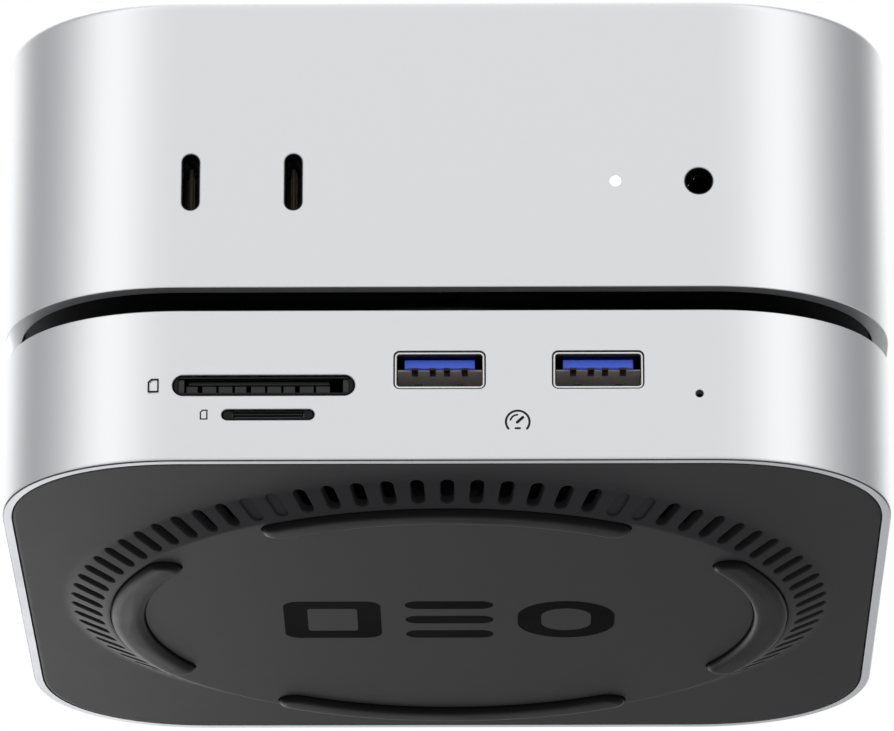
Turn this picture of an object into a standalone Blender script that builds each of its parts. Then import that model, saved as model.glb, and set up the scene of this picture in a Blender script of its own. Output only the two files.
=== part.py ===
"""A square mini PC in a milled aluminium housing, standing on a docking hub of the same outline.

The origin is on the surface that the rubber feet stand on, under the middle of the square. +Z is up,
and the front, with the sockets and the card slots, faces -Y. The PC lifts straight off the hub.
"""

import math

import bmesh
import bpy
from mathutils import Matrix, Vector

MM = 0.001
GAP = 0.3 * MM
SEAM = 0.2 * MM
OVERSHOOT = 1.0 * MM

# The outline that the PC and the hub share
WIDTH = 127.0 * MM
CORNER = 26.5 * MM
CORNER_EXPONENT = 2.17
CORNER_STEPS = 9
HALF = WIDTH / 2

# Heights, from the surface upwards
FOOT_PROUD = 1.0 * MM
BOSS_HEIGHT = 2.5 * MM
HUB_BOTTOM = FOOT_PROUD + BOSS_HEIGHT
HUB_TOP = HUB_BOTTOM + 22.4 * MM
PC_BOTTOM = HUB_TOP + 3.5 * MM
PC_TOP = PC_BOTTOM + 43.5 * MM
PC_HEIGHT = 50.0 * MM
PC_FOOT_BOTTOM = PC_TOP - PC_HEIGHT

# Hub shell and base cover
HUB_WALL = 2.0 * MM
HUB_DECK = 1.8 * MM
HUB_RIM = 1.3 * MM
COVER_THICK = 1.6 * MM
BOSS_BASE_RADIUS = 55.9 * MM
BOSS_FACE_RADIUS = 50.4 * MM
BOSS_SKIN = 1.54 * MM
SLOT_COUNT = 80
SLOT_INNER = 51.1 * MM
SLOT_OUTER = 55.5 * MM
SLOT_WIDTH = 2.0 * MM
BLIND_SLOTS = (6, 7)
BLIND_DEPTH = 0.35 * MM
FOOT_RADIUS = 47.3 * MM
FOOT_WIDTH = 5.0 * MM
FOOT_HALF_ANGLE = 30.2
FOOT_GROOVE = 0.5 * MM
SCREW_ANGLE = 28.0
POST_RADIUS = 3.6 * MM
POST_TOP = HUB_BOTTOM + 3.0 * MM

# Dish in the hub's deck, which the PC's foot stands in
DECK_OPENING = 54.5 * MM
DISH_RADIUS = 54.2 * MM
DISH_WALL = 1.4 * MM
DISH_TOP = HUB_TOP - GAP
DISH_FLOOR_TOP = PC_FOOT_BOTTOM - 1.3 * MM
DISH_FLOOR = DISH_FLOOR_TOP - 1.6 * MM
DISH_VENTS = 16

# Hub board and what stands on it
BOARD_LOW = HUB_BOTTOM + 7.9 * MM
BOARD_HIGH = BOARD_LOW + 1.6 * MM
FRONT_INSIDE = -HALF + HUB_WALL + GAP
SD_X, SD_Z = -25.45 * MM, HUB_BOTTOM + 11.25 * MM
SD_SLOT = (25.7 * MM, 3.1 * MM)
MICRO_X, MICRO_Z = -24.8 * MM, HUB_BOTTOM + 6.88 * MM
MICRO_SLOT = (13.1 * MM, 1.65 * MM)
USB_A_X = {"left": -0.75 * MM, "right": 21.5 * MM}
USB_A_Z = HUB_BOTTOM + 13.46 * MM
USB_A_SIZE = (12.6 * MM, 5.35 * MM)
USB_A_CORNER = 0.7 * MM
USB_A_SHEET = 0.28 * MM
USB_A_SEAM = 0.14 * MM
USB_A_DEPTH = 14.0 * MM
PINHOLE_X, PINHOLE_Z, PINHOLE_RADIUS = 35.7 * MM, HUB_BOTTOM + 9.85 * MM, 0.58 * MM
HOST_X, HOST_Z = 0.0, HUB_BOTTOM + 12.0 * MM

# PC housing
PC_WALL = 2.4 * MM
PC_ROOF = 2.0 * MM
PLATE_LOW = PC_BOTTOM + 1.0 * MM
PLATE_HIGH = PLATE_LOW + 1.4 * MM
PC_FOOT_TOP_RADIUS = 53.0 * MM
PC_FOOT_BASE_RADIUS = 50.0 * MM
PC_FOOT_SKIN = 1.5 * MM
PC_FOOT_VENTS = 40
PC_FOOT_FLOOR = PC_FOOT_BOTTOM + 1.0 * MM
PC_FOOT_TOP = PLATE_LOW - GAP
PORT_Z = PC_BOTTOM + 15.9 * MM
USB_C_HOLE = (2.6 * MM, 8.6 * MM)
USB_C_SHELL = (3.5 * MM, 9.5 * MM)
USB_C_TONGUE = (0.75 * MM, 6.6 * MM)
USB_C_DEPTH = 9.0 * MM
FRONT_USB_C_X = {"left": -36.05 * MM, "right": -21.5 * MM}
REAR_USB_C_X = {"inner": -21.5 * MM, "middle": -29.0 * MM, "outer": -36.5 * MM}
LED_X, LED_RADIUS = 24.1 * MM, 0.85 * MM
JACK_X, JACK_RADIUS = 35.9 * MM, 2.03 * MM
INLET_X, INLET_SIZE = 28.5 * MM, (14.4 * MM, 7.6 * MM)
ETHERNET_X, ETHERNET_Z = 9.5 * MM, PC_BOTTOM + 17.0 * MM
ETHERNET_FACE = (13.8 * MM, 11.6 * MM)
HDMI_X, HDMI_FACE = -8.5 * MM, (14.8 * MM, 5.6 * MM)
SOCKET_FRONT = HALF - PC_WALL - GAP

# PC internals
LOGIC_LOW = PC_BOTTOM + 9.2 * MM
LOGIC_HIGH = LOGIC_LOW + 1.2 * MM
ON_LOGIC = LOGIC_HIGH + GAP
FAN_LOW = PLATE_HIGH + 0.4 * MM
FAN_HIGH = LOGIC_LOW - GAP
FAN_RADIUS = 32.0 * MM
FAN_INLET = 13.0 * MM
FAN_BLADES = 21
ROTOR_LOW = FAN_LOW + 1.6 * MM
ROTOR_HIGH = FAN_HIGH - 0.5 * MM
SUPPLY_LOW = PC_BOTTOM + 22.1 * MM
SUPPLY_HIGH = PC_TOP - PC_ROOF - 1.4 * MM
BUTTON_X, BUTTON_Y, BUTTON_RADIUS = -44.5 * MM, 44.5 * MM, 3.2 * MM
BUTTON_TRAVEL = 0.8 * MM
PLATE_SCREW_REACH = 57.0 * MM
PROCESSOR_HEIGHT = 1.4 * MM


def clear_scene():
    for item in list(bpy.data.objects):
        bpy.data.objects.remove(item)


def make_material(name, colour, roughness, metallic=0.0):
    material = bpy.data.materials.new(name)
    material.use_nodes = True
    shader = material.node_tree.nodes["Principled BSDF"]
    shader.inputs["Base Color"].default_value = (*colour, 1.0)
    shader.inputs["Roughness"].default_value = roughness
    shader.inputs["Metallic"].default_value = metallic
    return material


# Outlines, as lists of 2-D points that run anticlockwise


def rounded_square(inset=0.0):
    """The shared outline, drawn in by inset. Each corner is a quarter of a superellipse."""
    corner = CORNER - inset
    middle = HALF - CORNER
    power = 2 / CORNER_EXPONENT
    points = []
    for turn in range(4):
        quarter = Matrix.Rotation(math.radians(90) * turn, 2)
        for step in range(CORNER_STEPS + 1):
            angle = math.radians(90) * step / CORNER_STEPS
            across = middle + corner * max(math.cos(angle), 0.0) ** power
            along = middle + corner * max(math.sin(angle), 0.0) ** power
            points.append(tuple(quarter @ Vector((across, along))))
    return points


def circle(radius, steps, centre=(0.0, 0.0)):
    turns = [math.tau * step / steps for step in range(steps)]
    return [(centre[0] + radius * math.cos(t), centre[1] + radius * math.sin(t)) for t in turns]


def rounded_box(size, radius, centre=(0.0, 0.0), steps=4):
    """A rectangle with round corners. A radius of half the smaller side makes a round-ended slot."""
    half_x, half_y = size[0] / 2 - radius, size[1] / 2 - radius
    points = []
    for quarter, (sign_x, sign_y) in enumerate(((1, 1), (-1, 1), (-1, -1), (1, -1))):
        for step in range(steps + 1):
            angle = math.radians(90) * (quarter + step / steps)
            point = (
                centre[0] + sign_x * half_x + radius * math.cos(angle),
                centre[1] + sign_y * half_y + radius * math.sin(angle),
            )
            if not points or math.dist(point, points[-1]) > 1e-7:
                points.append(point)
    if math.dist(points[0], points[-1]) < 1e-7:
        points.pop()
    return points


def slot_shape(size, centre=(0.0, 0.0), steps=4):
    return rounded_box(size, min(size) / 2, centre, steps)


def box_shape(size, centre=(0.0, 0.0)):
    half_x, half_y = size[0] / 2, size[1] / 2
    return [
        (centre[0] + x, centre[1] + y)
        for x, y in ((half_x, half_y), (-half_x, half_y), (-half_x, -half_y), (half_x, -half_y))
    ]


def arc_bar(radius, width, half_angle, middle, steps=10, end_steps=4):
    """A bar bent along an arc about the origin, with round ends. Angles are in degrees."""
    def at(reach, degrees):
        return Vector((reach * math.cos(math.radians(degrees)), reach * math.sin(math.radians(degrees))))

    points = []
    for step in range(steps + 1):
        points.append(at(radius + width / 2, middle - half_angle + 2 * half_angle * step / steps))
    for step in range(1, end_steps):
        end = at(radius, middle + half_angle)
        points.append(end + at(width / 2, middle + half_angle + 180 * step / end_steps))
    for step in range(steps + 1):
        points.append(at(radius - width / 2, middle + half_angle - 2 * half_angle * step / steps))
    for step in range(1, end_steps):
        end = at(radius, middle - half_angle)
        points.append(end + at(width / 2, middle - half_angle + 180 + 180 * step / end_steps))
    return [tuple(point) for point in points]


# Solids. Each function adds one closed shape to a bmesh


def in_space(point, level, along):
    """A 2-D outline point at a level of the sweep. Along Y the outline lies in X and Z."""
    return (point[0], point[1], level) if along == "Z" else (point[0], level, point[1])


def add_prism(mesh, outline, low, high, along="Z"):
    base = [mesh.verts.new(in_space(point, low, along)) for point in outline]
    face = mesh.faces.new(base)
    swept = bmesh.ops.extrude_face_region(mesh, geom=[face])["geom"]
    far = [item for item in swept if isinstance(item, bmesh.types.BMVert)]
    offset = in_space((0.0, 0.0), high - low, along)
    bmesh.ops.translate(mesh, verts=far, vec=offset)
    mesh.faces.index_update()


def add_turned(mesh, profile, steps, centre=(0.0, 0.0), along="Z"):
    """Turns a profile of (radius, height) points a full turn, with a flat side of it square to each axis."""
    half_step = math.pi / steps
    across, up = math.cos(half_step), math.sin(half_step)
    verts = [mesh.verts.new((radius * across, radius * up, height)) for radius, height in profile]
    edges = [mesh.edges.new(pair) for pair in zip(verts, verts[1:])]
    if profile[0][0] > 0:
        edges.append(mesh.edges.new((verts[-1], verts[0])))
    bmesh.ops.spin(
        mesh, geom=verts + edges, axis=(0, 0, 1), cent=(0, 0, 0), angle=math.tau, steps=steps, use_merge=True
    )
    made = [vert for vert in mesh.verts if not vert.tag]
    if along == "Y":
        bmesh.ops.rotate(mesh, verts=made, matrix=Matrix.Rotation(math.radians(-90), 3, "X"))
        bmesh.ops.translate(mesh, verts=made, vec=(centre[0], 0.0, centre[1]))
    else:
        bmesh.ops.translate(mesh, verts=made, vec=(centre[0], centre[1], 0.0))
    bmesh.ops.remove_doubles(mesh, verts=made, dist=1e-6)


def settle(mesh):
    """Marks what is in the mesh so far, so that the next shape can be moved on its own."""
    for vert in mesh.verts:
        vert.tag = True


def make_object(name, mesh, material=None):
    bmesh.ops.recalc_face_normals(mesh, faces=list(mesh.faces))
    data = bpy.data.meshes.new(name)
    mesh.to_mesh(data)
    mesh.free()
    item = bpy.data.objects.new(name, data)
    bpy.context.scene.collection.objects.link(item)
    if material is not None:
        data.materials.append(material)
        data.shade_smooth()
        data.set_sharp_from_angle(angle=math.radians(35))
    return item


def prism(name, outline, low, high, material=None, along="Z"):
    mesh = bmesh.new()
    add_prism(mesh, outline, low, high, along)
    return make_object(name, mesh, material)


def prisms(name, shapes, low, high, along="Z"):
    """A helper of several separate prisms with the same two ends."""
    mesh = bmesh.new()
    for outline in shapes:
        add_prism(mesh, outline, low, high, along)
    return make_object(name, mesh)


def turned(name, profile, steps, material=None, centre=(0.0, 0.0), along="Z"):
    mesh = bmesh.new()
    add_turned(mesh, profile, steps, centre, along)
    return make_object(name, mesh, material)


def block(name, low, high, material, bevel=0.0):
    centre = ((low[0] + high[0]) / 2, (low[1] + high[1]) / 2)
    item = prism(name, box_shape((high[0] - low[0], high[1] - low[1]), centre), low[2], high[2], material)
    if bevel:
        soften(item, bevel)
    return item


def soften(item, width, angle=60.0, segments=1):
    """Bevels the edges that turn more sharply than the angle."""
    bevel = item.modifiers.new("Bevel", "BEVEL")
    bevel.width = width
    bevel.segments = segments
    bevel.limit_method = "ANGLE"
    bevel.angle_limit = math.radians(angle)


def combine(item, helper, operation):
    helper.hide_render = True
    helper.display_type = "WIRE"
    boolean = item.modifiers.new(operation.title(), "BOOLEAN")
    boolean.operation = operation
    boolean.object = helper


def cut(item, helper):
    combine(item, helper, "DIFFERENCE")


def join(item, helper):
    combine(item, helper, "UNION")


def front_to_back(depth, start):
    """The two ends of something that reaches back from the front, or forward from the rear."""
    return (start, start + depth) if start < 0 else (start - depth, start)


# The docking hub


def hub_port_holes():
    front = [
        slot_shape(SD_SLOT, (SD_X, SD_Z), 5),
        slot_shape(MICRO_SLOT, (MICRO_X, MICRO_Z)),
        circle(PINHOLE_RADIUS, 12, (PINHOLE_X, PINHOLE_Z)),
    ]
    width, height = USB_A_SIZE[0] + 2 * USB_A_SEAM, USB_A_SIZE[1] + 2 * USB_A_SEAM
    front += [rounded_box((width, height), USB_A_CORNER + USB_A_SEAM, (x, USB_A_Z)) for x in USB_A_X.values()]
    return front


def make_hub_shell(material):
    shell = prism("hub_shell", rounded_square(), HUB_BOTTOM, HUB_TOP, material)
    soften(shell, 0.35 * MM)
    inside = prism("hub_inside", rounded_square(HUB_WALL), HUB_BOTTOM - OVERSHOOT, HUB_TOP - HUB_DECK)
    cut(shell, inside)
    rebate_top = HUB_BOTTOM + COVER_THICK + SEAM
    cut(shell, prism("hub_rebate", rounded_square(HUB_RIM), HUB_BOTTOM - OVERSHOOT, rebate_top))
    cut(shell, prism("hub_opening", circle(DECK_OPENING, 64), HUB_TOP - 2 * HUB_DECK, HUB_TOP + OVERSHOOT))
    cut(shell, prisms("hub_front_holes", hub_port_holes(), -HALF - OVERSHOOT, -HALF + 4 * OVERSHOOT, "Y"))
    host = slot_shape((9.2 * MM, 3.4 * MM), (HOST_X, HOST_Z))
    cut(shell, prisms("hub_rear_hole", [host], HALF - 4 * OVERSHOOT, HALF + OVERSHOOT, "Y"))


def boss_height_at(radius):
    """The height of the base cover's cone at a radius: it rises outwards to meet the plate."""
    share = (radius - BOSS_FACE_RADIUS) / (BOSS_BASE_RADIUS - BOSS_FACE_RADIUS)
    return FOOT_PROUD + BOSS_HEIGHT * share


def add_vent_slot(mesh, degrees, blind):
    """One round-ended radial slot. A blind one stops just under the cone's surface."""
    length = SLOT_OUTER - SLOT_INNER
    outline = slot_shape((length, SLOT_WIDTH), ((SLOT_OUTER + SLOT_INNER) / 2, 0.0), 1)
    turn = Matrix.Rotation(math.radians(degrees), 3, "Z")
    low, high = FOOT_PROUD - OVERSHOOT, HUB_BOTTOM + COVER_THICK + OVERSHOOT
    tops = [boss_height_at(x) + BLIND_DEPTH if blind else high for x, _ in outline]
    under = [mesh.verts.new(turn @ Vector((x, y, low))) for x, y in outline]
    over = [mesh.verts.new(turn @ Vector((x, y, top))) for (x, y), top in zip(outline, tops)]
    mesh.faces.new(reversed(under))
    mesh.faces.new(over)
    for index in range(len(outline)):
        following = (index + 1) % len(outline)
        mesh.faces.new((under[index], under[following], over[following], over[index]))


def make_vent_slots():
    mesh = bmesh.new()
    for index in range(SLOT_COUNT):
        from_front = min(index, SLOT_COUNT - index)
        from_back = abs(SLOT_COUNT // 2 - index)
        blind = from_front in BLIND_SLOTS or from_back in BLIND_SLOTS
        add_vent_slot(mesh, -90.0 + 360.0 * index / SLOT_COUNT, blind)
    return make_object("vent_slots", mesh)


def cover_screw_places():
    """The four screws hide under the ends of the left and right feet."""
    places = {}
    for name, degrees in (
        ("front_left", 180 + SCREW_ANGLE),
        ("front_right", -SCREW_ANGLE),
        ("rear_right", SCREW_ANGLE),
        ("rear_left", 180 - SCREW_ANGLE),
    ):
        angle = math.radians(degrees)
        places[name] = (FOOT_RADIUS * math.cos(angle), FOOT_RADIUS * math.sin(angle))
    return places


def make_base_cover(material):
    """The plate that closes the hub from below, with the round boss, its ring of vents and its grooves."""
    cover = prism("base_cover", rounded_square(HUB_RIM + SEAM), HUB_BOTTOM, HUB_BOTTOM + COVER_THICK, material)
    boss = [
        (0.0, FOOT_PROUD),
        (BOSS_FACE_RADIUS, FOOT_PROUD),
        (BOSS_BASE_RADIUS, HUB_BOTTOM),
        (BOSS_BASE_RADIUS, HUB_BOTTOM + COVER_THICK / 2),
        (0.0, HUB_BOTTOM + COVER_THICK / 2),
    ]
    join(cover, turned("boss_outside", boss, 80))
    rise = BOSS_BASE_RADIUS - BOSS_FACE_RADIUS
    inside = [
        (0.0, FOOT_PROUD + BOSS_SKIN),
        (BOSS_FACE_RADIUS, FOOT_PROUD + BOSS_SKIN),
        (BOSS_FACE_RADIUS + rise, HUB_BOTTOM + BOSS_SKIN),
        (BOSS_FACE_RADIUS + rise, HUB_BOTTOM + COVER_THICK + OVERSHOOT),
        (0.0, HUB_BOTTOM + COVER_THICK + OVERSHOOT),
    ]
    cut(cover, turned("boss_inside", inside, 80))
    places = cover_screw_places().values()
    posts = [circle(POST_RADIUS, 16, place) for place in places]
    join(cover, prisms("cover_posts", posts, FOOT_PROUD + BOSS_SKIN / 2, POST_TOP))
    cut(cover, make_vent_slots())
    grooves = [
        arc_bar(FOOT_RADIUS, FOOT_WIDTH + 2 * SEAM, FOOT_HALF_ANGLE, middle) for middle in (-90, 0, 90, 180)
    ]
    cut(cover, prisms("foot_grooves", grooves, FOOT_PROUD - OVERSHOOT, FOOT_PROUD + FOOT_GROOVE))
    heads = [circle(2.4 * MM, 16, place) for place in places]
    cut(cover, prisms("cover_head_holes", heads, FOOT_PROUD + FOOT_GROOVE / 2, FOOT_PROUD + 2.7 * MM))
    shanks = [circle(1.7 * MM, 12, place) for place in places]
    cut(cover, prisms("cover_shank_holes", shanks, FOOT_PROUD, POST_TOP + OVERSHOOT))


def make_feet(material):
    for name, middle in (("front", -90), ("right", 0), ("rear", 90), ("left", 180)):
        outline = arc_bar(FOOT_RADIUS, FOOT_WIDTH, FOOT_HALF_ANGLE, middle)
        foot = prism("foot_" + name, outline, 0.0, FOOT_PROUD + FOOT_GROOVE - SEAM, material)
        soften(foot, 0.45 * MM)


def make_cover_screws(material):
    head_low = FOOT_PROUD + FOOT_GROOVE + GAP
    head_high = FOOT_PROUD + 2.4 * MM
    for name, place in cover_screw_places().items():
        profile = [(0.0, head_low), (2.1 * MM, head_low), (2.1 * MM, head_high)]
        profile += [(1.3 * MM, head_high), (1.3 * MM, 14.0 * MM), (0.0, 14.0 * MM)]
        turned("cover_screw_" + name, profile, 12, material, place)


def make_seat(dish_material, ring_material):
    """The dish that the PC's foot stands in, with four screw posts below it, and the ring it rests on."""
    inner = DISH_RADIUS - DISH_WALL
    flange_top = HUB_TOP - HUB_DECK - GAP
    flange_low = flange_top - 1.4 * MM
    profile = [
        (0.0, DISH_FLOOR),
        (DISH_RADIUS, DISH_FLOOR),
        (DISH_RADIUS, flange_low),
        (DISH_RADIUS + 3.0 * MM, flange_low),
        (DISH_RADIUS + 3.0 * MM, flange_top),
        (DISH_RADIUS, flange_top),
        (DISH_RADIUS, DISH_TOP),
        (inner, DISH_TOP),
        (inner, DISH_FLOOR_TOP),
        (0.0, DISH_FLOOR_TOP),
    ]
    dish = turned("seat_dish", profile, 48, dish_material)
    posts = [circle(3.4 * MM, 16, place) for place in cover_screw_places().values()]
    join(dish, prisms("dish_posts", posts, POST_TOP + GAP, DISH_FLOOR + DISH_WALL / 2))
    bores = [circle(1.6 * MM, 12, place) for place in cover_screw_places().values()]
    cut(dish, prisms("dish_bores", bores, POST_TOP - OVERSHOOT, 15.0 * MM))
    vents = []
    for index in range(DISH_VENTS):
        turn = Matrix.Rotation(math.tau * index / DISH_VENTS, 2)
        shape = slot_shape((14.0 * MM, 2.4 * MM), (32.0 * MM, 0.0), 1)
        vents.append([tuple(turn @ Vector(point)) for point in shape])
    cut(dish, prisms("dish_vents", vents, DISH_FLOOR - OVERSHOOT, DISH_FLOOR_TOP + OVERSHOOT))
    ring_low, ring_high = DISH_FLOOR_TOP + GAP, PC_FOOT_BOTTOM - GAP
    ring = [(45.5, ring_low), (50.0, ring_low), (50.0, ring_high), (45.5, ring_high)]
    turned("seat_ring", [(radius * MM, height) for radius, height in ring], 48, ring_material)


def make_hub_board(board_material, chip_material):
    board = prism("hub_board", rounded_square(HUB_WALL + 0.8 * MM), BOARD_LOW, BOARD_HIGH, board_material)
    holes = [circle(4.2 * MM, 16, place) for place in cover_screw_places().values()]
    holes.append(circle(28.0 * MM, 32))
    holes.append(box_shape((4.0 * MM, 10.0 * MM), (PINHOLE_X, -HALF + 5.0 * MM)))
    cut(board, prisms("board_holes", holes, BOARD_LOW - OVERSHOOT, BOARD_HIGH + OVERSHOOT))
    on_board = BOARD_HIGH + GAP
    chips = {
        "hub_controller": ((33.0, -6.0), (45.0, 6.0), 1.2),
        "hub_drive": ((-47.0, -15.0), (-31.0, 8.0), 1.8),
        "hub_drive_socket": ((-49.0, 9.0), (-29.0, 15.0), 2.6),
    }
    for name, (low, high, tall) in chips.items():
        corner = (low[0] * MM, low[1] * MM, on_board)
        block(name, corner, (high[0] * MM, high[1] * MM, on_board + tall * MM), chip_material)


def make_card_socket(name, centre, hole, mouth, body, depth, material):
    """A card reader: a body behind the wall, and a nose that fills the hole with a mouth through it."""
    face = -HALF + 0.25 * MM
    socket = prism(name, box_shape(body, centre), FRONT_INSIDE, FRONT_INSIDE + depth, material, "Y")
    nose = slot_shape((hole[0] - 2 * SEAM, hole[1] - 2 * SEAM), centre, 4)
    join(socket, prism(name + "_nose", nose, face, FRONT_INSIDE + OVERSHOOT, along="Y"))
    cut(socket, prism(name + "_mouth", box_shape(mouth, centre), face - OVERSHOOT, FRONT_INSIDE + depth * 0.8, along="Y"))


def make_usb_a(shell_material, tongue_material):
    face = -HALF + 0.1 * MM
    for side, x in USB_A_X.items():
        shell = prism("usb_a_shell_" + side, rounded_box(USB_A_SIZE, USB_A_CORNER, (x, USB_A_Z)), face,
                      face + USB_A_DEPTH, shell_material, "Y")
        hollow = (USB_A_SIZE[0] - 2 * USB_A_SHEET, USB_A_SIZE[1] - 2 * USB_A_SHEET)
        bore = rounded_box(hollow, USB_A_CORNER - USB_A_SHEET, (x, USB_A_Z))
        cut(shell, prism("usb_a_bore_" + side, bore, face - OVERSHOOT, face + USB_A_DEPTH + OVERSHOOT, along="Y"))
        plug = (hollow[0] - 2 * SEAM, hollow[1] - 2 * SEAM)
        back = face + USB_A_DEPTH
        tongue = prism("usb_a_tongue_" + side, box_shape(plug, (x, USB_A_Z)), back - 3.5 * MM, back,
                       tongue_material, "Y")
        blade = box_shape((10.4 * MM, 1.7 * MM), (x, USB_A_Z + 1.2 * MM))
        join(tongue, prism("usb_a_blade_" + side, blade, face + 1.6 * MM, back - 3.0 * MM, along="Y"))


def make_hub_lights_and_host(pipe_material, shell_material, tongue_material):
    pipe = [(0.0, FRONT_INSIDE), (1.4 * MM, FRONT_INSIDE), (1.4 * MM, -57.0 * MM), (0.0, -57.0 * MM)]
    turned("hub_light_pipe", pipe, 16, pipe_material, (PINHOLE_X, PINHOLE_Z), "Y")
    make_usb_c("host_port", HOST_X, HOST_Z, HALF - HUB_WALL - GAP, True, shell_material, tongue_material)


# Sockets that the PC and the hub share


def make_usb_c(name, x, z, start, flat, shell_material, tongue_material):
    """A USB-C receptacle behind a wall: a rolled shell, and a carrier with the thin tongue in it."""
    def upright(size):
        return (size[1], size[0]) if flat else size

    inward = USB_C_DEPTH if start < 0 else -USB_C_DEPTH
    low, high = sorted((start, start + inward))
    shell = prism(name + "_shell", slot_shape(upright(USB_C_SHELL), (x, z)), low, high, shell_material, "Y")
    hollow = (USB_C_HOLE[0] + 0.1 * MM, USB_C_HOLE[1] + 0.1 * MM)
    bore = slot_shape(upright(hollow), (x, z))
    cut(shell, prism(name + "_bore", bore, low - OVERSHOOT, high + OVERSHOOT, along="Y"))
    back = start + inward
    toward_face = math.copysign(1.0, start)
    carrier_size = upright((hollow[0] - 2 * SEAM, hollow[1] - 2 * SEAM))
    carrier_ends = sorted((back, back + toward_face * 2.5 * MM))
    tongue = prism(name + "_tongue", slot_shape(carrier_size, (x, z)), *carrier_ends, tongue_material, "Y")
    blade_ends = sorted((back + toward_face * 2.0 * MM, start - toward_face * 0.5 * MM))
    blade = box_shape(upright(USB_C_TONGUE), (x, z))
    join(tongue, prism(name + "_blade", blade, *blade_ends, along="Y"))


# The PC


def pc_front_holes():
    holes = [slot_shape(USB_C_HOLE, (x, PORT_Z)) for x in FRONT_USB_C_X.values()]
    holes.append(circle(LED_RADIUS, 12, (LED_X, PORT_Z)))
    holes.append(circle(JACK_RADIUS, 24, (JACK_X, PORT_Z)))
    return holes


def pc_rear_holes():
    holes = [slot_shape(USB_C_HOLE, (x, PORT_Z)) for x in REAR_USB_C_X.values()]
    holes.append(slot_shape((INLET_SIZE[0] + 2 * SEAM, INLET_SIZE[1] + 2 * SEAM), (INLET_X, PORT_Z), 6))
    for (width, height), centre, corner in (
        (ETHERNET_FACE, (ETHERNET_X, ETHERNET_Z), 1.2 * MM),
        (HDMI_FACE, (HDMI_X, PORT_Z), 1.2 * MM),
    ):
        holes.append(rounded_box((width + 2 * SEAM, height + 2 * SEAM), corner, centre))
    return holes


def plate_screw_places():
    reach = PLATE_SCREW_REACH
    return {"front": (0.0, -reach), "right": (reach, 0.0), "rear": (0.0, reach), "left": (-reach, 0.0)}


def make_housing(material):
    housing = prism("pc_housing", rounded_square(), PC_BOTTOM, PC_TOP, material)
    soften(housing, 0.6 * MM)
    inside = prism("pc_inside", rounded_square(PC_WALL), PC_BOTTOM - OVERSHOOT, PC_TOP - PC_ROOF)
    cut(housing, inside)
    lug_low, lug_high = PLATE_HIGH + GAP, PLATE_HIGH + 4.0 * MM
    lugs = [box_shape((8.0 * MM, 8.0 * MM), (x * 1.03, y * 1.03)) for x, y in plate_screw_places().values()]
    join(housing, prisms("pc_lugs", lugs, lug_low, lug_high))
    bores = [circle(1.3 * MM, 12, place) for place in plate_screw_places().values()]
    cut(housing, prisms("pc_lug_bores", bores, lug_low - OVERSHOOT, lug_high + OVERSHOOT))
    cut(housing, prisms("pc_front_holes", pc_front_holes(), -HALF - OVERSHOOT, -HALF + 3.5 * MM, "Y"))
    cut(housing, prisms("pc_rear_holes", pc_rear_holes(), HALF - 3.5 * MM, HALF + OVERSHOOT, "Y"))


def make_bottom_plate(plate_material, screw_material):
    plate = prism("pc_bottom_plate", rounded_square(PC_WALL + GAP), PLATE_LOW, PLATE_HIGH, plate_material)
    holes = [circle(46.0 * MM, 48), circle(BUTTON_RADIUS + GAP, 16, (BUTTON_X, BUTTON_Y))]
    holes += [circle(1.3 * MM, 12, place) for place in plate_screw_places().values()]
    cut(plate, prisms("plate_holes", holes, PLATE_LOW - OVERSHOOT, PLATE_HIGH + OVERSHOOT))
    head_low, head_high, tip = PLATE_LOW - 0.9 * MM, PLATE_LOW - 0.2 * MM, PLATE_HIGH + 3.4 * MM
    for name, place in plate_screw_places().items():
        profile = [(0.0, head_low), (2.0 * MM, head_low), (2.0 * MM, head_high)]
        profile += [(1.0 * MM, head_high), (1.0 * MM, tip), (0.0, tip)]
        turned("plate_screw_" + name, profile, 12, screw_material, place)


def make_pc_foot(foot_material, ring_material):
    """The round foot under the PC, with a ring of upright vents through its sloping wall."""
    top, base, skin = PC_FOOT_TOP_RADIUS, PC_FOOT_BASE_RADIUS, PC_FOOT_SKIN
    profile = [
        (0.0, PC_FOOT_FLOOR),
        (base, PC_FOOT_FLOOR),
        (top, PC_FOOT_TOP),
        (top - skin, PC_FOOT_TOP),
        (base - skin, PC_FOOT_FLOOR + skin),
        (0.0, PC_FOOT_FLOOR + skin),
    ]
    foot = turned("pc_foot", profile, PC_FOOT_VENTS, foot_material)
    vent_low, vent_high = HUB_TOP + 0.2 * MM, PC_BOTTOM - 0.2 * MM
    middle = (vent_low + vent_high) / 2
    mesh = bmesh.new()
    for index in range(PC_FOOT_VENTS):
        settle(mesh)
        add_prism(mesh, box_shape((4.0 * MM, vent_high - vent_low), (0.0, middle)), 44.0 * MM, 58.0 * MM, "Y")
        fresh = [vert for vert in mesh.verts if not vert.tag]
        turn = Matrix.Rotation(math.tau * index / PC_FOOT_VENTS, 3, "Z")
        bmesh.ops.rotate(mesh, verts=fresh, matrix=turn)
    cut(foot, make_object("pc_foot_vents", mesh))
    ring_high = PC_FOOT_FLOOR - GAP
    ring = [(44.0 * MM, PC_FOOT_BOTTOM), (49.0 * MM, PC_FOOT_BOTTOM), (49.0 * MM, ring_high), (44.0 * MM, ring_high)]
    turned("pc_foot_ring", ring, 48, ring_material)


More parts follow.
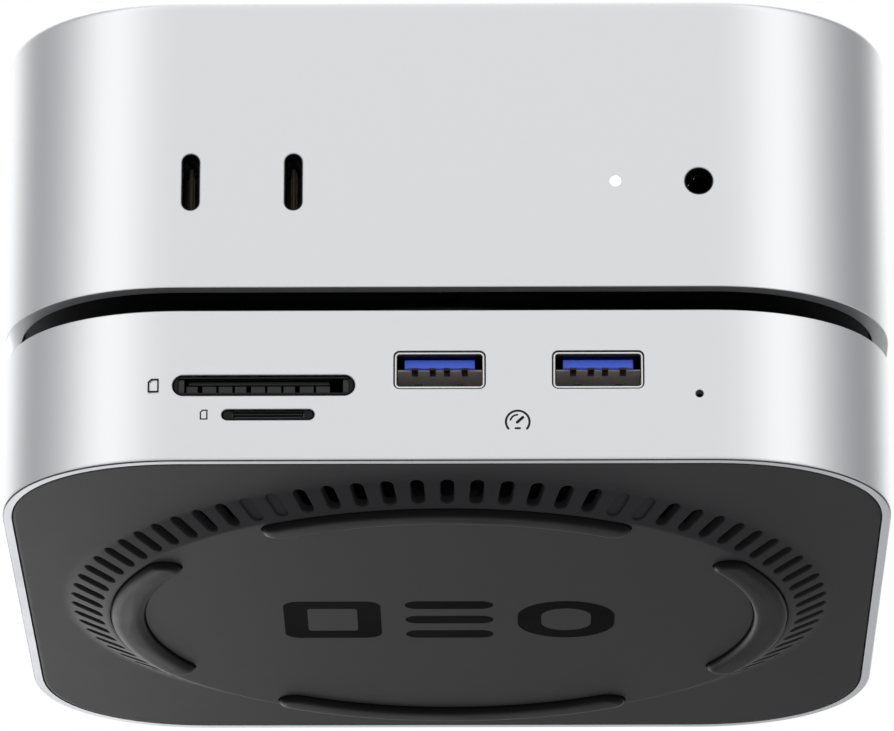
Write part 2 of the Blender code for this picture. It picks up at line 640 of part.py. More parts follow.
def make_power_button(button_material, switch_material):
    """The button's flange keeps it above the bottom plate. The switch bridges over it."""
    place = (BUTTON_X, BUTTON_Y)
    flange = PLATE_HIGH + GAP
    profile = [
        (0.0, PC_BOTTOM + 0.2 * MM),
        (BUTTON_RADIUS - 0.4 * MM, PC_BOTTOM + 0.2 * MM),
        (BUTTON_RADIUS, PC_BOTTOM + 0.6 * MM),
        (BUTTON_RADIUS, flange),
        (BUTTON_RADIUS + 0.8 * MM, flange),
        (BUTTON_RADIUS + 0.8 * MM, flange + 0.8 * MM),
        (0.0, flange + 0.8 * MM),
    ]
    turned("power_button", profile, 20, button_material, place)
    bridge_top = flange + 0.8 * MM + BUTTON_TRAVEL + 3.0 * MM
    low = flange
    outline = [
        (BUTTON_X - 7.0 * MM, low),
        (BUTTON_X - 5.2 * MM, low),
        (BUTTON_X - 5.2 * MM, low + 2.2 * MM),
        (BUTTON_X + 5.2 * MM, low + 2.2 * MM),
        (BUTTON_X + 5.2 * MM, low),
        (BUTTON_X + 7.0 * MM, low),
        (BUTTON_X + 7.0 * MM, bridge_top),
        (BUTTON_X - 7.0 * MM, bridge_top),
    ]
    prism("power_switch", outline, BUTTON_Y - 4.0 * MM, BUTTON_Y + 4.0 * MM, switch_material, "Y")


def make_fan(housing_material, rotor_material):
    """A flat blower on the bottom plate. The rotor turns on a pin in the middle of the inlet."""
    wall = 1.2 * MM
    floor = FAN_LOW + 1.0 * MM
    cup = [
        (FAN_INLET, FAN_LOW),
        (FAN_RADIUS, FAN_LOW),
        (FAN_RADIUS, FAN_HIGH),
        (FAN_RADIUS - wall, FAN_HIGH),
        (FAN_RADIUS - wall, floor),
        (FAN_INLET, floor),
    ]
    housing = turned("fan_housing", cup, 40, housing_material)
    hub = [(0.0, FAN_LOW), (6.0 * MM, FAN_LOW), (6.0 * MM, floor), (1.2 * MM, floor)]
    hub += [(1.2 * MM, ROTOR_HIGH - 1.2 * MM), (0.0, ROTOR_HIGH - 1.2 * MM)]
    join(housing, turned("fan_pin", hub, 16))
    for index in range(3):
        angle = math.radians(90 + 120 * index)
        turn = Matrix.Rotation(angle, 2)
        shape = box_shape((FAN_INLET - 3.0 * MM, 2.4 * MM), (FAN_INLET / 2 + 2.9 * MM, 0.0))
        spoke = [tuple(turn @ Vector(point)) for point in shape]
        join(housing, prism(f"fan_spoke_{index}", spoke, FAN_LOW + 0.1 * MM, floor - 0.1 * MM))
    outlet = box_shape((26.0 * MM, 20.0 * MM), (0.0, FAN_RADIUS))
    cut(housing, prism("fan_outlet", outlet, floor + 0.2 * MM, FAN_HIGH + OVERSHOOT))

    roof = ROTOR_HIGH - 0.8 * MM
    profile = [
        (1.5 * MM, ROTOR_LOW),
        (9.0 * MM, ROTOR_LOW),
        (9.0 * MM, roof),
        (28.0 * MM, roof),
        (28.0 * MM, ROTOR_HIGH),
        (0.0, ROTOR_HIGH),
    ]
    profile = [(0.0, roof), (1.5 * MM, roof), *profile]
    rotor = turned("fan_rotor", profile, 32, rotor_material)
    blades = []
    for index in range(FAN_BLADES):
        turn = Matrix.Rotation(math.tau * index / FAN_BLADES, 2)
        lean = Matrix.Rotation(math.radians(35), 2)
        shape = [lean @ Vector(point) for point in box_shape((9.6 * MM, 0.8 * MM))]
        blades.append([tuple(turn @ (point + Vector((22.5 * MM, 0.0)))) for point in shape])
    join(rotor, prisms("fan_blades", blades, ROTOR_LOW, roof + 0.4 * MM))


def make_heat_sink(material):
    """A comb of fins on a base, swept along Y."""
    left, right, fins = -26.0 * MM, 26.0 * MM, 13
    underside = ON_LOGIC + PROCESSOR_HEIGHT + GAP
    base, top = underside + 1.8 * MM, ON_LOGIC + 9.6 * MM
    pitch = (right - left) / fins
    outline = [(left, underside), (right, underside)]
    for index in reversed(range(fins)):
        low_x = left + pitch * index
        high_x = low_x + pitch
        fin = high_x - 1.2 * MM
        outline += [(high_x, top), (fin, top), (fin, base), (low_x, base)]
    outline[-1] = (left, base)
    prism("heat_sink", outline, -24.0 * MM, 14.0 * MM, material, "Y")


def make_rear_sockets(plastic, metal):
    """The power inlet, the network jack and the display socket, each a body behind the rear wall."""
    face = HALF - 0.25 * MM
    inlet = prism("power_inlet", box_shape((18.0 * MM, 11.0 * MM), (INLET_X, PORT_Z + 0.4 * MM)),
                  SOCKET_FRONT - 14.0 * MM, SOCKET_FRONT, plastic, "Y")
    well = slot_shape(INLET_SIZE, (INLET_X, PORT_Z), 6)
    cut(inlet, prism("inlet_well", well, SOCKET_FRONT - 12.0 * MM, SOCKET_FRONT + OVERSHOOT, along="Y"))
    pins = [circle(1.2 * MM, 12, (INLET_X + side * 4.3 * MM, PORT_Z)) for side in (-1, 1)]
    join(inlet, prisms("inlet_pins", pins, SOCKET_FRONT - 12.5 * MM, SOCKET_FRONT - 0.6 * MM, "Y"))

    network = (ETHERNET_X, ETHERNET_Z)
    jack = prism("ethernet_jack", box_shape((15.6 * MM, 13.0 * MM), network), SOCKET_FRONT - 15.0 * MM,
                 SOCKET_FRONT, plastic, "Y")
    join(jack, prism("ethernet_nose", rounded_box(ETHERNET_FACE, 1.0 * MM, network),
                     SOCKET_FRONT - OVERSHOOT, face, along="Y"))
    well_shape = [(-5.9, 4.4), (-5.9, -2.4), (-3.0, -2.4), (-3.0, -4.4), (3.0, -4.4), (3.0, -2.4), (5.9, -2.4), (5.9, 4.4)]
    well = [(ETHERNET_X + x * MM, ETHERNET_Z + z * MM) for x, z in well_shape]
    cut(jack, prism("ethernet_well", well, SOCKET_FRONT - 13.0 * MM, face + OVERSHOOT, along="Y"))

    display = (HDMI_X, PORT_Z)
    socket = prism("hdmi_socket", box_shape((15.6 * MM, 6.4 * MM), display), SOCKET_FRONT - 11.0 * MM,
                   SOCKET_FRONT, metal, "Y")
    join(socket, prism("hdmi_nose", rounded_box(HDMI_FACE, 1.0 * MM, display), SOCKET_FRONT - OVERSHOOT, face, along="Y"))
    mouth_shape = [(-7.0, 2.3), (-7.0, -0.6), (-5.3, -2.3), (5.3, -2.3), (7.0, -0.6), (7.0, 2.3)]
    mouth = [(HDMI_X + x * MM, PORT_Z + z * MM) for x, z in mouth_shape]
    cut(socket, prism("hdmi_mouth", mouth, SOCKET_FRONT - 9.0 * MM, face + OVERSHOOT, along="Y"))
    blade = box_shape((11.0 * MM, 1.1 * MM), (HDMI_X, PORT_Z + 0.3 * MM))
    join(socket, prism("hdmi_blade", blade, SOCKET_FRONT - 9.5 * MM, face - 1.0 * MM, along="Y"))


def make_front_pieces(plastic, lens):
    jack = prism("headphone_jack", box_shape((7.0 * MM, 7.0 * MM), (JACK_X, PORT_Z)), -SOCKET_FRONT,
                 -SOCKET_FRONT + 13.0 * MM, plastic, "Y")
    bore = circle(1.75 * MM, 20, (JACK_X, PORT_Z))
    cut(jack, prism("jack_bore", bore, -SOCKET_FRONT - OVERSHOOT, -SOCKET_FRONT + 12.0 * MM, along="Y"))
    face, shoulder, back = -HALF + 0.05 * MM, -SOCKET_FRONT, -SOCKET_FRONT + 1.6 * MM
    nose = LED_RADIUS - 0.1 * MM
    profile = [(0.0, face), (nose, face), (nose, shoulder), (1.6 * MM, shoulder), (1.6 * MM, back), (0.0, back)]
    turned("status_light", profile, 16, lens, (LED_X, PORT_Z), "Y")


def make_pc_internals(board, chip, tin, plastic):
    logic = prism("logic_board", rounded_square(PC_WALL + 1.2 * MM), LOGIC_LOW, LOGIC_HIGH, board)
    notch = [box_shape((10.0 * MM, 10.0 * MM), (BUTTON_X * 1.2, BUTTON_Y * 1.2))]
    cut(logic, prisms("logic_notch", notch, LOGIC_LOW - OVERSHOOT, LOGIC_HIGH + OVERSHOOT))
    block("processor", (-11.0 * MM, -16.0 * MM, ON_LOGIC), (11.0 * MM, 6.0 * MM, ON_LOGIC + PROCESSOR_HEIGHT), chip)
    block("antenna", (-40.0 * MM, -60.2 * MM, SUPPLY_LOW), (10.0 * MM, -58.8 * MM, SUPPLY_LOW + 8.0 * MM), tin, 0.3 * MM)
    block("storage_module", (32.0 * MM, -30.0 * MM, ON_LOGIC), (52.0 * MM, 10.0 * MM, ON_LOGIC + 2.0 * MM), chip)
    block("power_supply", (-44.0 * MM, -30.0 * MM, SUPPLY_LOW), (44.0 * MM, 40.0 * MM, SUPPLY_HIGH), tin, 2.0 * MM)
    block("speaker", (-54.0 * MM, -30.0 * MM, ON_LOGIC), (-34.0 * MM, 6.0 * MM, ON_LOGIC + 8.0 * MM), plastic, 1.5 * MM)


def main():
    clear_scene()
    aluminium = make_material("anodised_aluminium", (0.72, 0.73, 0.74), 0.32, 1.0)
    grey_plastic = make_material("dark_grey_plastic", (0.07, 0.07, 0.075), 0.55)
    black_plastic = make_material("black_plastic", (0.012, 0.012, 0.013), 0.5)
    rubber = make_material("black_rubber", (0.03, 0.03, 0.032), 0.7)
    steel = make_material("nickel_steel", (0.65, 0.64, 0.62), 0.28, 1.0)
    blue_plastic = make_material("blue_plastic", (0.03, 0.10, 0.62), 0.45)
    green_board = make_material("board_laminate", (0.02, 0.06, 0.03), 0.5)
    lens = make_material("clear_lens", (0.9, 0.9, 0.92), 0.2)

    make_hub_shell(aluminium)
    make_base_cover(grey_plastic)
    make_feet(rubber)
    make_cover_screws(steel)
    make_seat(black_plastic, rubber)
    make_hub_board(green_board, black_plastic)
    make_card_socket("sd_socket", (SD_X, SD_Z), SD_SLOT, (24.1 * MM, 2.1 * MM), (28.6 * MM, 2.9 * MM),
                     25.0 * MM, black_plastic)
    make_card_socket("microsd_socket", (MICRO_X, MICRO_Z), MICRO_SLOT, (11.2 * MM, 0.75 * MM),
                     (15.0 * MM, 1.5 * MM), 15.0 * MM, black_plastic)
    make_usb_a(steel, blue_plastic)
    make_hub_lights_and_host(lens, steel, black_plastic)

    make_housing(aluminium)
    make_bottom_plate(black_plastic, steel)
    make_pc_foot(black_plastic, rubber)
    make_power_button(black_plastic, black_plastic)
    make_fan(black_plastic, black_plastic)
    make_heat_sink(aluminium)
    make_pc_internals(green_board, black_plastic, steel, black_plastic)
    make_front_pieces(black_plastic, lens)
    for side, x in FRONT_USB_C_X.items():
        make_usb_c("front_usb_c_" + side, x, PORT_Z, -SOCKET_FRONT, False, steel, black_plastic)
    for side, x in REAR_USB_C_X.items():
        make_usb_c("rear_usb_c_" + side, x, PORT_Z, SOCKET_FRONT, False, steel, black_plastic)
    make_rear_sockets(black_plastic, steel)


main()
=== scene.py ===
"""A square mini PC in a bead-blasted aluminium housing, seated in a docking hub of the same outline.

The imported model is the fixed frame. Each sub-assembly below makes the fine surface of its pieces, in the
frame's own metres, and dresses them. +Z is up and the front, with the ports and card slots, faces -Y.
"""

import logging
import math
from dataclasses import dataclass, field, replace
from enum import Enum
from typing import Any, Sequence

import bmesh
import bpy
from mathutils import Matrix, Vector


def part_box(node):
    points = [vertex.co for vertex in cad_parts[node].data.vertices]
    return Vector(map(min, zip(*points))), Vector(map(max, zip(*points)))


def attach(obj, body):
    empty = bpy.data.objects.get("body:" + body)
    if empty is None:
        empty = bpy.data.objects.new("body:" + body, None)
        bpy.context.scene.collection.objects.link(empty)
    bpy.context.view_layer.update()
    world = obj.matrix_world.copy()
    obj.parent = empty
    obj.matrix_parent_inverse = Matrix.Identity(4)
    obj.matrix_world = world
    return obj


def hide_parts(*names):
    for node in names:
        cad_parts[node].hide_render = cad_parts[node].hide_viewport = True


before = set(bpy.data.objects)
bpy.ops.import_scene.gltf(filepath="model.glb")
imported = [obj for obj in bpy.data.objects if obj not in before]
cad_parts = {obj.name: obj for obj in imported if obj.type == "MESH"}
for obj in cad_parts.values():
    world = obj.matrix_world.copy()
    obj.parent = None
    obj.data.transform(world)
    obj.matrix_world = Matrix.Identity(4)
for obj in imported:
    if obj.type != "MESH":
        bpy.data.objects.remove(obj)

LOG = logging.getLogger("mini_pc")
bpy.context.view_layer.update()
MM = 0.001


class Body(Enum):
    """The rigid bodies that a new piece can ride on. The fan and the button are kept as they are."""

    HUB = "hub"
    COMPUTER = "computer"


class Side(Enum):
    """The wall that a port opens in. The value is the sign of Y there."""

    FRONT = -1.0
    REAR = 1.0


class Ends(Enum):
    """How a loft finishes: closed by a flat face at each end, or joined back to its first section."""

    CAPPED = "capped"
    RING = "ring"


# Colours and nodes


def linear(code: str) -> tuple[float, float, float, float]:
    """Turns an sRGB hex colour to linear.

    Args:
        code: The colour as "#rrggbb".

    Returns:
        Red, green and blue as the shader reads them, and a full alpha.
    """
    shares = [int(code[start : start + 2], 16) / 255 for start in (1, 3, 5)]
    red, green, blue = (s / 12.92 if s <= 0.04045 else ((s + 0.055) / 1.055) ** 2.4 for s in shares)
    return red, green, blue, 1.0


def add_node(
    tree: bpy.types.NodeTree,
    kind: str,
    sockets: dict[str | int, Any] | None = None,
    links: dict[str | int, bpy.types.NodeSocket] | None = None,
    **settings: Any,
) -> bpy.types.Node:
    """Adds a node with its settings and links.

    Args:
        tree: The node tree it goes in.
        kind: The node's type name.
        sockets: Values of its inputs, by name or number.
        links: Outputs of other nodes that feed its inputs, by name or number.
        **settings: The node's own properties.

    Returns:
        The new node.
    """
    node = tree.nodes.new(kind)
    for name, value in settings.items():
        setattr(node, name, value)
    for key, value in (sockets or {}).items():
        node.inputs[key].default_value = value
    for key, source in (links or {}).items():
        tree.links.new(source, node.inputs[key])
    return node


def fill_ramp(node: bpy.types.Node, stops: Sequence[tuple[float, tuple[float, float, float, float]]]) -> None:
    """Gives a colour ramp its stops.

    Args:
        node: The ramp.
        stops: Pairs of position and linear colour, in order.
    """
    ramp = node.color_ramp
    while len(ramp.elements) > 1:
        ramp.elements.remove(ramp.elements[-1])
    ramp.elements[0].position, ramp.elements[0].color = stops[0]
    for position, colour in stops[1:]:
        ramp.elements.new(position).color = colour


# Finishes


@dataclass(frozen=True)
class Finish:
    """A material and how its surface was made.

    The grain is a fine bump over the whole surface. The mottle is a slow drift in colour and gloss, as from
    the tool, the bath or handling.
    """

    name: str
    colour: str
    roughness: float
    metallic: float = 0.0
    ior: float = 1.5
    specular: float = 0.5
    grain_mm: float = 0.35
    grain_depth_mm: float = 0.01
    mottle: float = 0.04
    mottle_mm: float = 14.0
    gloss_drift: float = 0.05
    stretch: tuple[float, float, float] = (1.0, 1.0, 1.0)

    def material(self) -> bpy.types.Material:
        """Builds the material, or returns the one already built."""
        known = bpy.data.materials.get(self.name)
        if known is not None:
            return known
        material = bpy.data.materials.new(self.name)
        material.use_nodes = True
        tree = material.node_tree
        shader = tree.nodes["Principled BSDF"]
        shader.inputs["Metallic"].default_value = self.metallic
        if not self.metallic:
            shader.inputs["IOR"].default_value = self.ior
            shader.inputs["Specular IOR Level"].default_value = self.specular
        place = add_node(tree, "ShaderNodeTexCoord").outputs["Object"]
        mapped = add_node(tree, "ShaderNodeMapping", {"Scale": self.stretch}, {"Vector": place}).outputs["Vector"]
        self.paint(tree, shader, mapped)
        self.texture(tree, shader, mapped)
        self.extras(tree, shader, mapped)
        return material

    def paint(self, tree: bpy.types.NodeTree, shader: bpy.types.Node, place: bpy.types.NodeSocket) -> None:
        """Gives the colour and the gloss their slow drift.

        Args:
            tree: The material's tree.
            shader: Its main shader.
            place: The coordinates that the patterns follow.
        """
        cloud = add_node(
            tree, "ShaderNodeTexNoise", {"Scale": 1 / (self.mottle_mm * MM), "Detail": 4.0}, {"Vector": place}
        ).outputs["Fac"]
        base = linear(self.colour)
        tints = [tuple(c * (1 + sign * self.mottle) for c in base[:3]) + (1.0,) for sign in (-1, 1)]
        ramp = add_node(tree, "ShaderNodeValToRGB", links={"Fac": cloud})
        fill_ramp(ramp, [(0.3, tints[0]), (0.7, tints[1])])
        tree.links.new(ramp.outputs["Color"], shader.inputs["Base Color"])
        drift = add_node(
            tree,
            "ShaderNodeMapRange",
            {
                "From Min": 0.3,
                "From Max": 0.7,
                "To Min": self.roughness - self.gloss_drift,
                "To Max": self.roughness + self.gloss_drift,
            },
            {"Value": cloud},
        )
        tree.links.new(drift.outputs["Result"], shader.inputs["Roughness"])

    def texture(self, tree: bpy.types.NodeTree, shader: bpy.types.Node, place: bpy.types.NodeSocket) -> None:
        """Gives the surface its grain.

        Args:
            tree: The material's tree.
            shader: Its main shader.
            place: The coordinates that the patterns follow.
        """
        grain = add_node(
            tree, "ShaderNodeTexNoise", {"Scale": 1 / (self.grain_mm * MM), "Detail": 2.0}, {"Vector": place}
        ).outputs["Fac"]
        bump = add_node(
            tree, "ShaderNodeBump", {"Strength": 1.0, "Distance": self.grain_depth_mm * MM}, {"Height": grain}
        )
        tree.links.new(bump.outputs["Normal"], shader.inputs["Normal"])

    def extras(self, tree: bpy.types.NodeTree, shader: bpy.types.Node, place: bpy.types.NodeSocket) -> None:
        """Adds what only some finishes have. A plain finish adds nothing."""


@dataclass(frozen=True)
class Glow(Finish):
    """A milky light pipe with a white diode behind it."""

    strength: float = 1.6

    def extras(self, tree: bpy.types.NodeTree, shader: bpy.types.Node, place: bpy.types.NodeSocket) -> None:
        """Lights it."""
        shader.inputs["Emission Color"].default_value = linear("#ffffff")
        shader.inputs["Emission Strength"].default_value = self.strength


@dataclass(frozen=True)
class Board(Finish):
    """Glass-fibre board: copper tracks stand slightly proud under green solder mask."""

    track_mm: float = 2.4

    def texture(self, tree: bpy.types.NodeTree, shader: bpy.types.Node, place: bpy.types.NodeSocket) -> None:
        """Raises the tracks, as steps of cells whose edges run square."""
        cells = add_node(
            tree,
            "ShaderNodeTexVoronoi",
            {"Scale": 1 / (self.track_mm * MM), "Randomness": 0.6},
            {"Vector": place},
            feature="F1",
            distance="CHEBYCHEV",
        ).outputs["Distance"]
        step = add_node(
            tree, "ShaderNodeMath", {1: 0.42}, {0: cells}, operation="GREATER_THAN"
        ).outputs["Value"]
        bump = add_node(tree, "ShaderNodeBump", {"Strength": 0.6, "Distance": 0.05 * MM}, {"Height": step})
        tree.links.new(bump.outputs["Normal"], shader.inputs["Normal"])


# Bead-blasted and clear anodised aluminium. The blasting leaves a grain of about 0.1 mm, drawn at 0.3 mm so
# that it shows, which spreads each reflection into a soft band.
ALUMINIUM = Finish("anodised_aluminium", "#e4e5e8", 0.33, 1.0, grain_mm=0.3, grain_depth_mm=0.0025, mottle=0.008,
                   mottle_mm=40.0, gloss_drift=0.012)
# Extruded aluminium as it comes off the saw, brighter and lined along its length.
BARE_ALUMINIUM = Finish("extruded_aluminium", "#cfcfd2", 0.3, 1.0, stretch=(1.0, 0.05, 1.0), grain_depth_mm=0.01)
# Glass-filled nylon with a fine spark-eroded texture, which looks satin and nearly even.
GREY_NYLON = Finish("satin_grey_nylon", "#303032", 0.5, grain_mm=0.35, grain_depth_mm=0.005, mottle=0.015,
                    mottle_mm=5.0, gloss_drift=0.01, specular=0.05)
# Black ABS from a plain mould.
BLACK_ABS = Finish("black_abs", "#070708", 0.45, grain_mm=0.3, grain_depth_mm=0.004, specular=0.22, mottle=0.02,
                   mottle_mm=5.0, gloss_drift=0.008)
# The same ABS with more carbon left out, so the ribs inside a socket can be told apart.
CHARCOAL_ABS = Finish("charcoal_abs", "#2f2f2f", 0.5, grain_mm=0.3, grain_depth_mm=0.004, specular=0.3)
# A paler grade behind the contacts, which still shows as warm grey deep in a socket.
PLUG_ABS = Finish("warm_grey_abs", "#a39d9a", 0.55, grain_mm=0.3, grain_depth_mm=0.004, specular=0.3)
# Silicone rubber: dull, a little dusty, and soft at its edges.
SILICONE = Finish("silicone_rubber", "#101011", 0.42, grain_mm=0.25, grain_depth_mm=0.005, mottle=0.04,
                  mottle_mm=6.0, gloss_drift=0.02, specular=0.05)
# Rolled steel with a nickel plate over it, lined along the rolling direction.
NICKEL = Finish("nickel_plated_steel", "#f1efec", 0.24, 1.0, stretch=(0.06, 1.0, 1.0), grain_mm=0.15,
                grain_depth_mm=0.002)
# PBT, the plastic of contact carriers, dyed through.
BLUE_PBT = Finish("blue_pbt", "#3a62e6", 0.4, grain_depth_mm=0.004, mottle=0.03, mottle_mm=3.0)
# Diamond-cut chamfer under the hub's wall: a smoother facet than the blasted face beside it. Its dark colour is
# painted shade, standing for the dark reflected line along the bottom edge.
CHAMFER_PAINTED_SHADE = Finish("chamfer_painted_shade", "#505053", 0.28, 1.0, grain_depth_mm=0.0005, mottle=0.01)
# The flat land round the base, faced off in one pass: rougher than the blasted walls, and a little darker in colour,
# which is painted shade on this down-facing land.
DULL_LAND_PAINTED_SHADE = Finish("dull_land_painted_shade", "#d6d7da", 0.56, 1.0, grain_depth_mm=0.002, mottle=0.01)
# Screw steel coloured near black, painted shade: the screws sit in the dark gap under the PC, where they shouldn't
# show.
SCREW_STEEL_PAINTED_SHADE = Finish("screw_steel_painted_shade", "#1a1a1b", 0.45, 1.0, grain_depth_mm=0.002)
# Spring contacts, dull bronze, coloured dark as painted shade where they sit under the tongue.
SHADED_BRONZE = Finish("bronze_painted_shade", "#3d342d", 0.4, 1.0, grain_depth_mm=0.001)
# Gold flash over nickel, on the springs.
GOLD = Finish("gold_flash", "#c9a24b", 0.28, 1.0, grain_depth_mm=0.001)
# Screen-printed ink, matt and thin.
GREY_INK = Finish("grey_ink", "#1c1c1d", 0.7, grain_depth_mm=0.004, specular=0.2)
# The same ink in black on the base, where it fills the texture and loses the plastic's sheen.
BLACK_INK = Finish("matt_black_ink", "#0a0a0b", 0.75, grain_depth_mm=0.004, specular=0.015, mottle=0.02)
# Glass-fibre board under green solder mask, with the tracks raised.
MASKED_BOARD = Board("masked_board", "#12402a", 0.35)
# Tin-plated steel, duller than the nickel and blotched by handling.
TINNED_STEEL = Finish("tinned_steel", "#b9babc", 0.35, 1.0, grain_depth_mm=0.004, mottle=0.06)
# Milky acrylic lit from behind, flat white with no shading.
LIT_LENS = Glow("lit_lens", "#f4f6ff", 0.3, grain_depth_mm=0.001)
# Smoked polycarbonate, which looks black until the diode behind it lights.
SMOKED_LENS = Finish("smoked_polycarbonate", "#0a0a0b", 0.3, grain_depth_mm=0.001, specular=0.2)


# Outlines


def flat(height: float) -> Matrix:
    """Places an outline level, at a height."""
    return Matrix.Translation((0.0, 0.0, height))


def upright(x: float, y: float, z: float) -> Matrix:
    """Places an outline in a front or rear wall: its own Y runs up."""
    return Matrix.Translation((x, y, z)) @ Matrix.Rotation(math.pi / 2, 4, "X")


@dataclass(frozen=True)
class Outline:
    """A flat closed shape about its own centre."""

    def points(self) -> list[Vector]:
        """The shape's corners in order."""
        raise NotImplementedError

    def grown(self, by: float) -> "Outline":
        """The same shape with its edge moved out by a distance."""
        raise NotImplementedError

    def face(self, mesh: bmesh.types.BMesh, place: Matrix) -> bmesh.types.BMFace:
        """Adds the shape as one face.

        Args:
            mesh: The mesh it goes in.
            place: Where it goes.

        Returns:
            The new face.
        """
        points = self.points()
        kept = [p for p, before in zip(points, points[-1:] + points) if (p - before).length > 1e-9]
        verts = bmesh.ops.create_circle(mesh, cap_ends=True, segments=len(kept), radius=1.0)["verts"]
        for vert, point in zip(verts, kept):
            vert.co = place @ point.to_3d()
        return verts[0].link_faces[0]


@dataclass(frozen=True)
class Squircle(Outline):
    """The outline that the PC and the hub share: a square whose corners are quarters of a superellipse."""

    inset: float = 0.0
    half: float = 63.5 * MM
    corner: float = 26.5 * MM
    exponent: float = 2.17
    steps: int = 28

    def points(self) -> list[Vector]:
        """Each corner, with a point close after it so that the side stays flat."""
        reach, middle, power = self.corner - self.inset, self.half - self.corner, 2 / self.exponent
        found = []
        for quarter in range(4):
            turn = Matrix.Rotation(math.pi / 2 * quarter, 2)
            corner = [Vector((middle + reach, middle - 1 * MM))]
            for step in range(self.steps + 1):
                angle = math.pi / 2 * step / self.steps
                across = middle + reach * max(math.cos(angle), 0.0) ** power
                along = middle + reach * max(math.sin(angle), 0.0) ** power
                corner.append(Vector((across, along)))
            corner.append(Vector((middle - 1 * MM, middle + reach)))
            found += [turn @ point for point in corner]
        return found

    def grown(self, by: float) -> "Squircle":
        """The outline with its inset made smaller."""
        return replace(self, inset=self.inset - by)


@dataclass(frozen=True)
class Disc(Outline):
    """A circle."""

    radius: float
    steps: int = 240

    def points(self) -> list[Vector]:
        """Points all round, with one at +X."""
        turns = [math.tau * step / self.steps for step in range(self.steps)]
        return [Vector((self.radius * math.cos(t), self.radius * math.sin(t))) for t in turns]

    def grown(self, by: float) -> "Disc":
        """A larger circle."""
        return replace(self, radius=self.radius + by)


@dataclass(frozen=True)
class Slab(Outline):
    """A rectangle with round corners. One whose corner is half its smaller side is a round-ended slot."""

    width: float
    height: float
    corner: float
    steps: int = 6

    def points(self) -> list[Vector]:
        """Each corner's quarter circle in turn."""
        half_x, half_y = self.width / 2 - self.corner, self.height / 2 - self.corner
        found = []
        for quarter, (sign_x, sign_y) in enumerate(((1, 1), (-1, 1), (-1, -1), (1, -1))):
            for step in range(self.steps + 1):
                angle = math.pi / 2 * (quarter + step / self.steps)
                across = sign_x * half_x + self.corner * math.cos(angle)
                found.append(Vector((across, sign_y * half_y + self.corner * math.sin(angle))))
        return found

    def grown(self, by: float) -> "Slab":
        """A larger rectangle with rounder corners."""
        return replace(self, width=self.width + 2 * by, height=self.height + 2 * by, corner=self.corner + by)


def slot_outline(width: float, height: float, steps: int = 6) -> Slab:
    """A slot with round ends."""
    return Slab(width, height, min(width, height) / 2, steps)


@dataclass(frozen=True)
class ArcBar(Outline):
    """A bar bent along an arc about the origin, with round ends. Its angles are in degrees."""

    radius: float
    width: float
    half_angle: float
    middle: float
    steps: int = 36
    end_steps: int = 12

    def points(self) -> list[Vector]:
        """The outer edge, one end, the inner edge and the other end."""

        def at(reach: float, degrees: float) -> Vector:
            turn = math.radians(degrees)
            return Vector((reach * math.cos(turn), reach * math.sin(turn)))

        half, low, high = self.width / 2, self.middle - self.half_angle, self.middle + self.half_angle
        spread = [2 * self.half_angle * step / self.steps for step in range(self.steps + 1)]
        bends = [180 * step / self.end_steps for step in range(1, self.end_steps)]
        found = [at(self.radius + half, low + turn) for turn in spread]
        found += [at(self.radius, high) + at(half, high + bend) for bend in bends]
        found += [at(self.radius - half, high - turn) for turn in spread]
        return found + [at(self.radius, low) + at(half, low + 180 + bend) for bend in bends]

    def grown(self, by: float) -> "ArcBar":
        """A wider bar."""
        return replace(self, width=self.width + 2 * by)


Section = tuple[Outline, Matrix]


def row(x: float, z: float, *steps: tuple[Outline, float]) -> list[Section]:
    """Places outlines one behind another in a front or rear wall, each at its own Y."""
    return [(outline, upright(x, y, z)) for outline, y in steps]


def loft(mesh: bmesh.types.BMesh, sections: Sequence[Section], ends: Ends = Ends.CAPPED) -> None:
    """Adds a skin through a row of outlines.

    The outlines are joined while they stand apart in a straight stack, drawn in whole units for each
    millimetre, and are then moved to their places. Outlines that end up level with each other join as well.

    Args:
        mesh: The mesh it goes in.
        sections: The outlines and their places, in order.
        ends: Whether the row is closed by its two end faces or by joining the last to the first.
    """
    unit = Matrix.Scale(1 / MM, 4)
    faces = [outline.face(mesh, flat(5.0 * level) @ unit) for level, (outline, _) in enumerate(sections)]
    rings = [list(face.edges) for face in faces]
    verts = [list(face.verts) for face in faces]
    bmesh.ops.delete(mesh, geom=faces if ends is Ends.RING else faces[1:-1], context="FACES_ONLY")
    pairs = list(zip(rings, rings[1:]))
    if ends is Ends.RING:
        pairs.append((rings[-1], rings[0]))
    for first, second in pairs:
        bmesh.ops.bridge_loops(mesh, edges=first + second)
    for level, (_, place) in enumerate(sections):
        back = place @ unit.inverted() @ flat(-5.0 * level)
        for vert in verts[level]:
            vert.co = back @ vert.co


def rounding(radius: float, steps: int = 4) -> list[tuple[float, float]]:
    """Points of a quarter circle.

    Args:
        radius: The circle's radius.
        steps: The number of chords.

    Returns:
        Pairs of how far in and how far down from the corner, from the side to the top.
    """
    turns = [math.pi / 2 * step / steps for step in range(steps + 1)]
    return [(radius * (1 - math.cos(t)), radius * (1 - math.sin(t))) for t in turns]


def prism(mesh: bmesh.types.BMesh, outline: Outline, low: Matrix, high: Matrix) -> None:
    """Adds a straight prism between two places of one outline."""
    loft(mesh, [(outline, low), (outline, high)])


def brick(mesh: bmesh.types.BMesh, low: Sequence[float], high: Sequence[float], edge: float = 0.0) -> None:
    """Adds a box with softened edges.

    Args:
        mesh: The mesh it goes in.
        low: Its lowest corner.
        high: Its highest corner.
        edge: The width of the softening.
    """
    made = bmesh.ops.create_cube(mesh, size=1.0)["verts"]
    sizes = [b - a for a, b in zip(low, high)]
    bmesh.ops.scale(mesh, vec=sizes, verts=made)
    bmesh.ops.translate(mesh, vec=[(a + b) / 2 for a, b in zip(low, high)], verts=made)
    if edge:
        edges = list(dict.fromkeys(link for vert in made for link in vert.link_edges))
        bmesh.ops.bevel(mesh, geom=edges, offset=edge, affect="EDGES", segments=2, profile=0.5, material=-1)


# Pieces


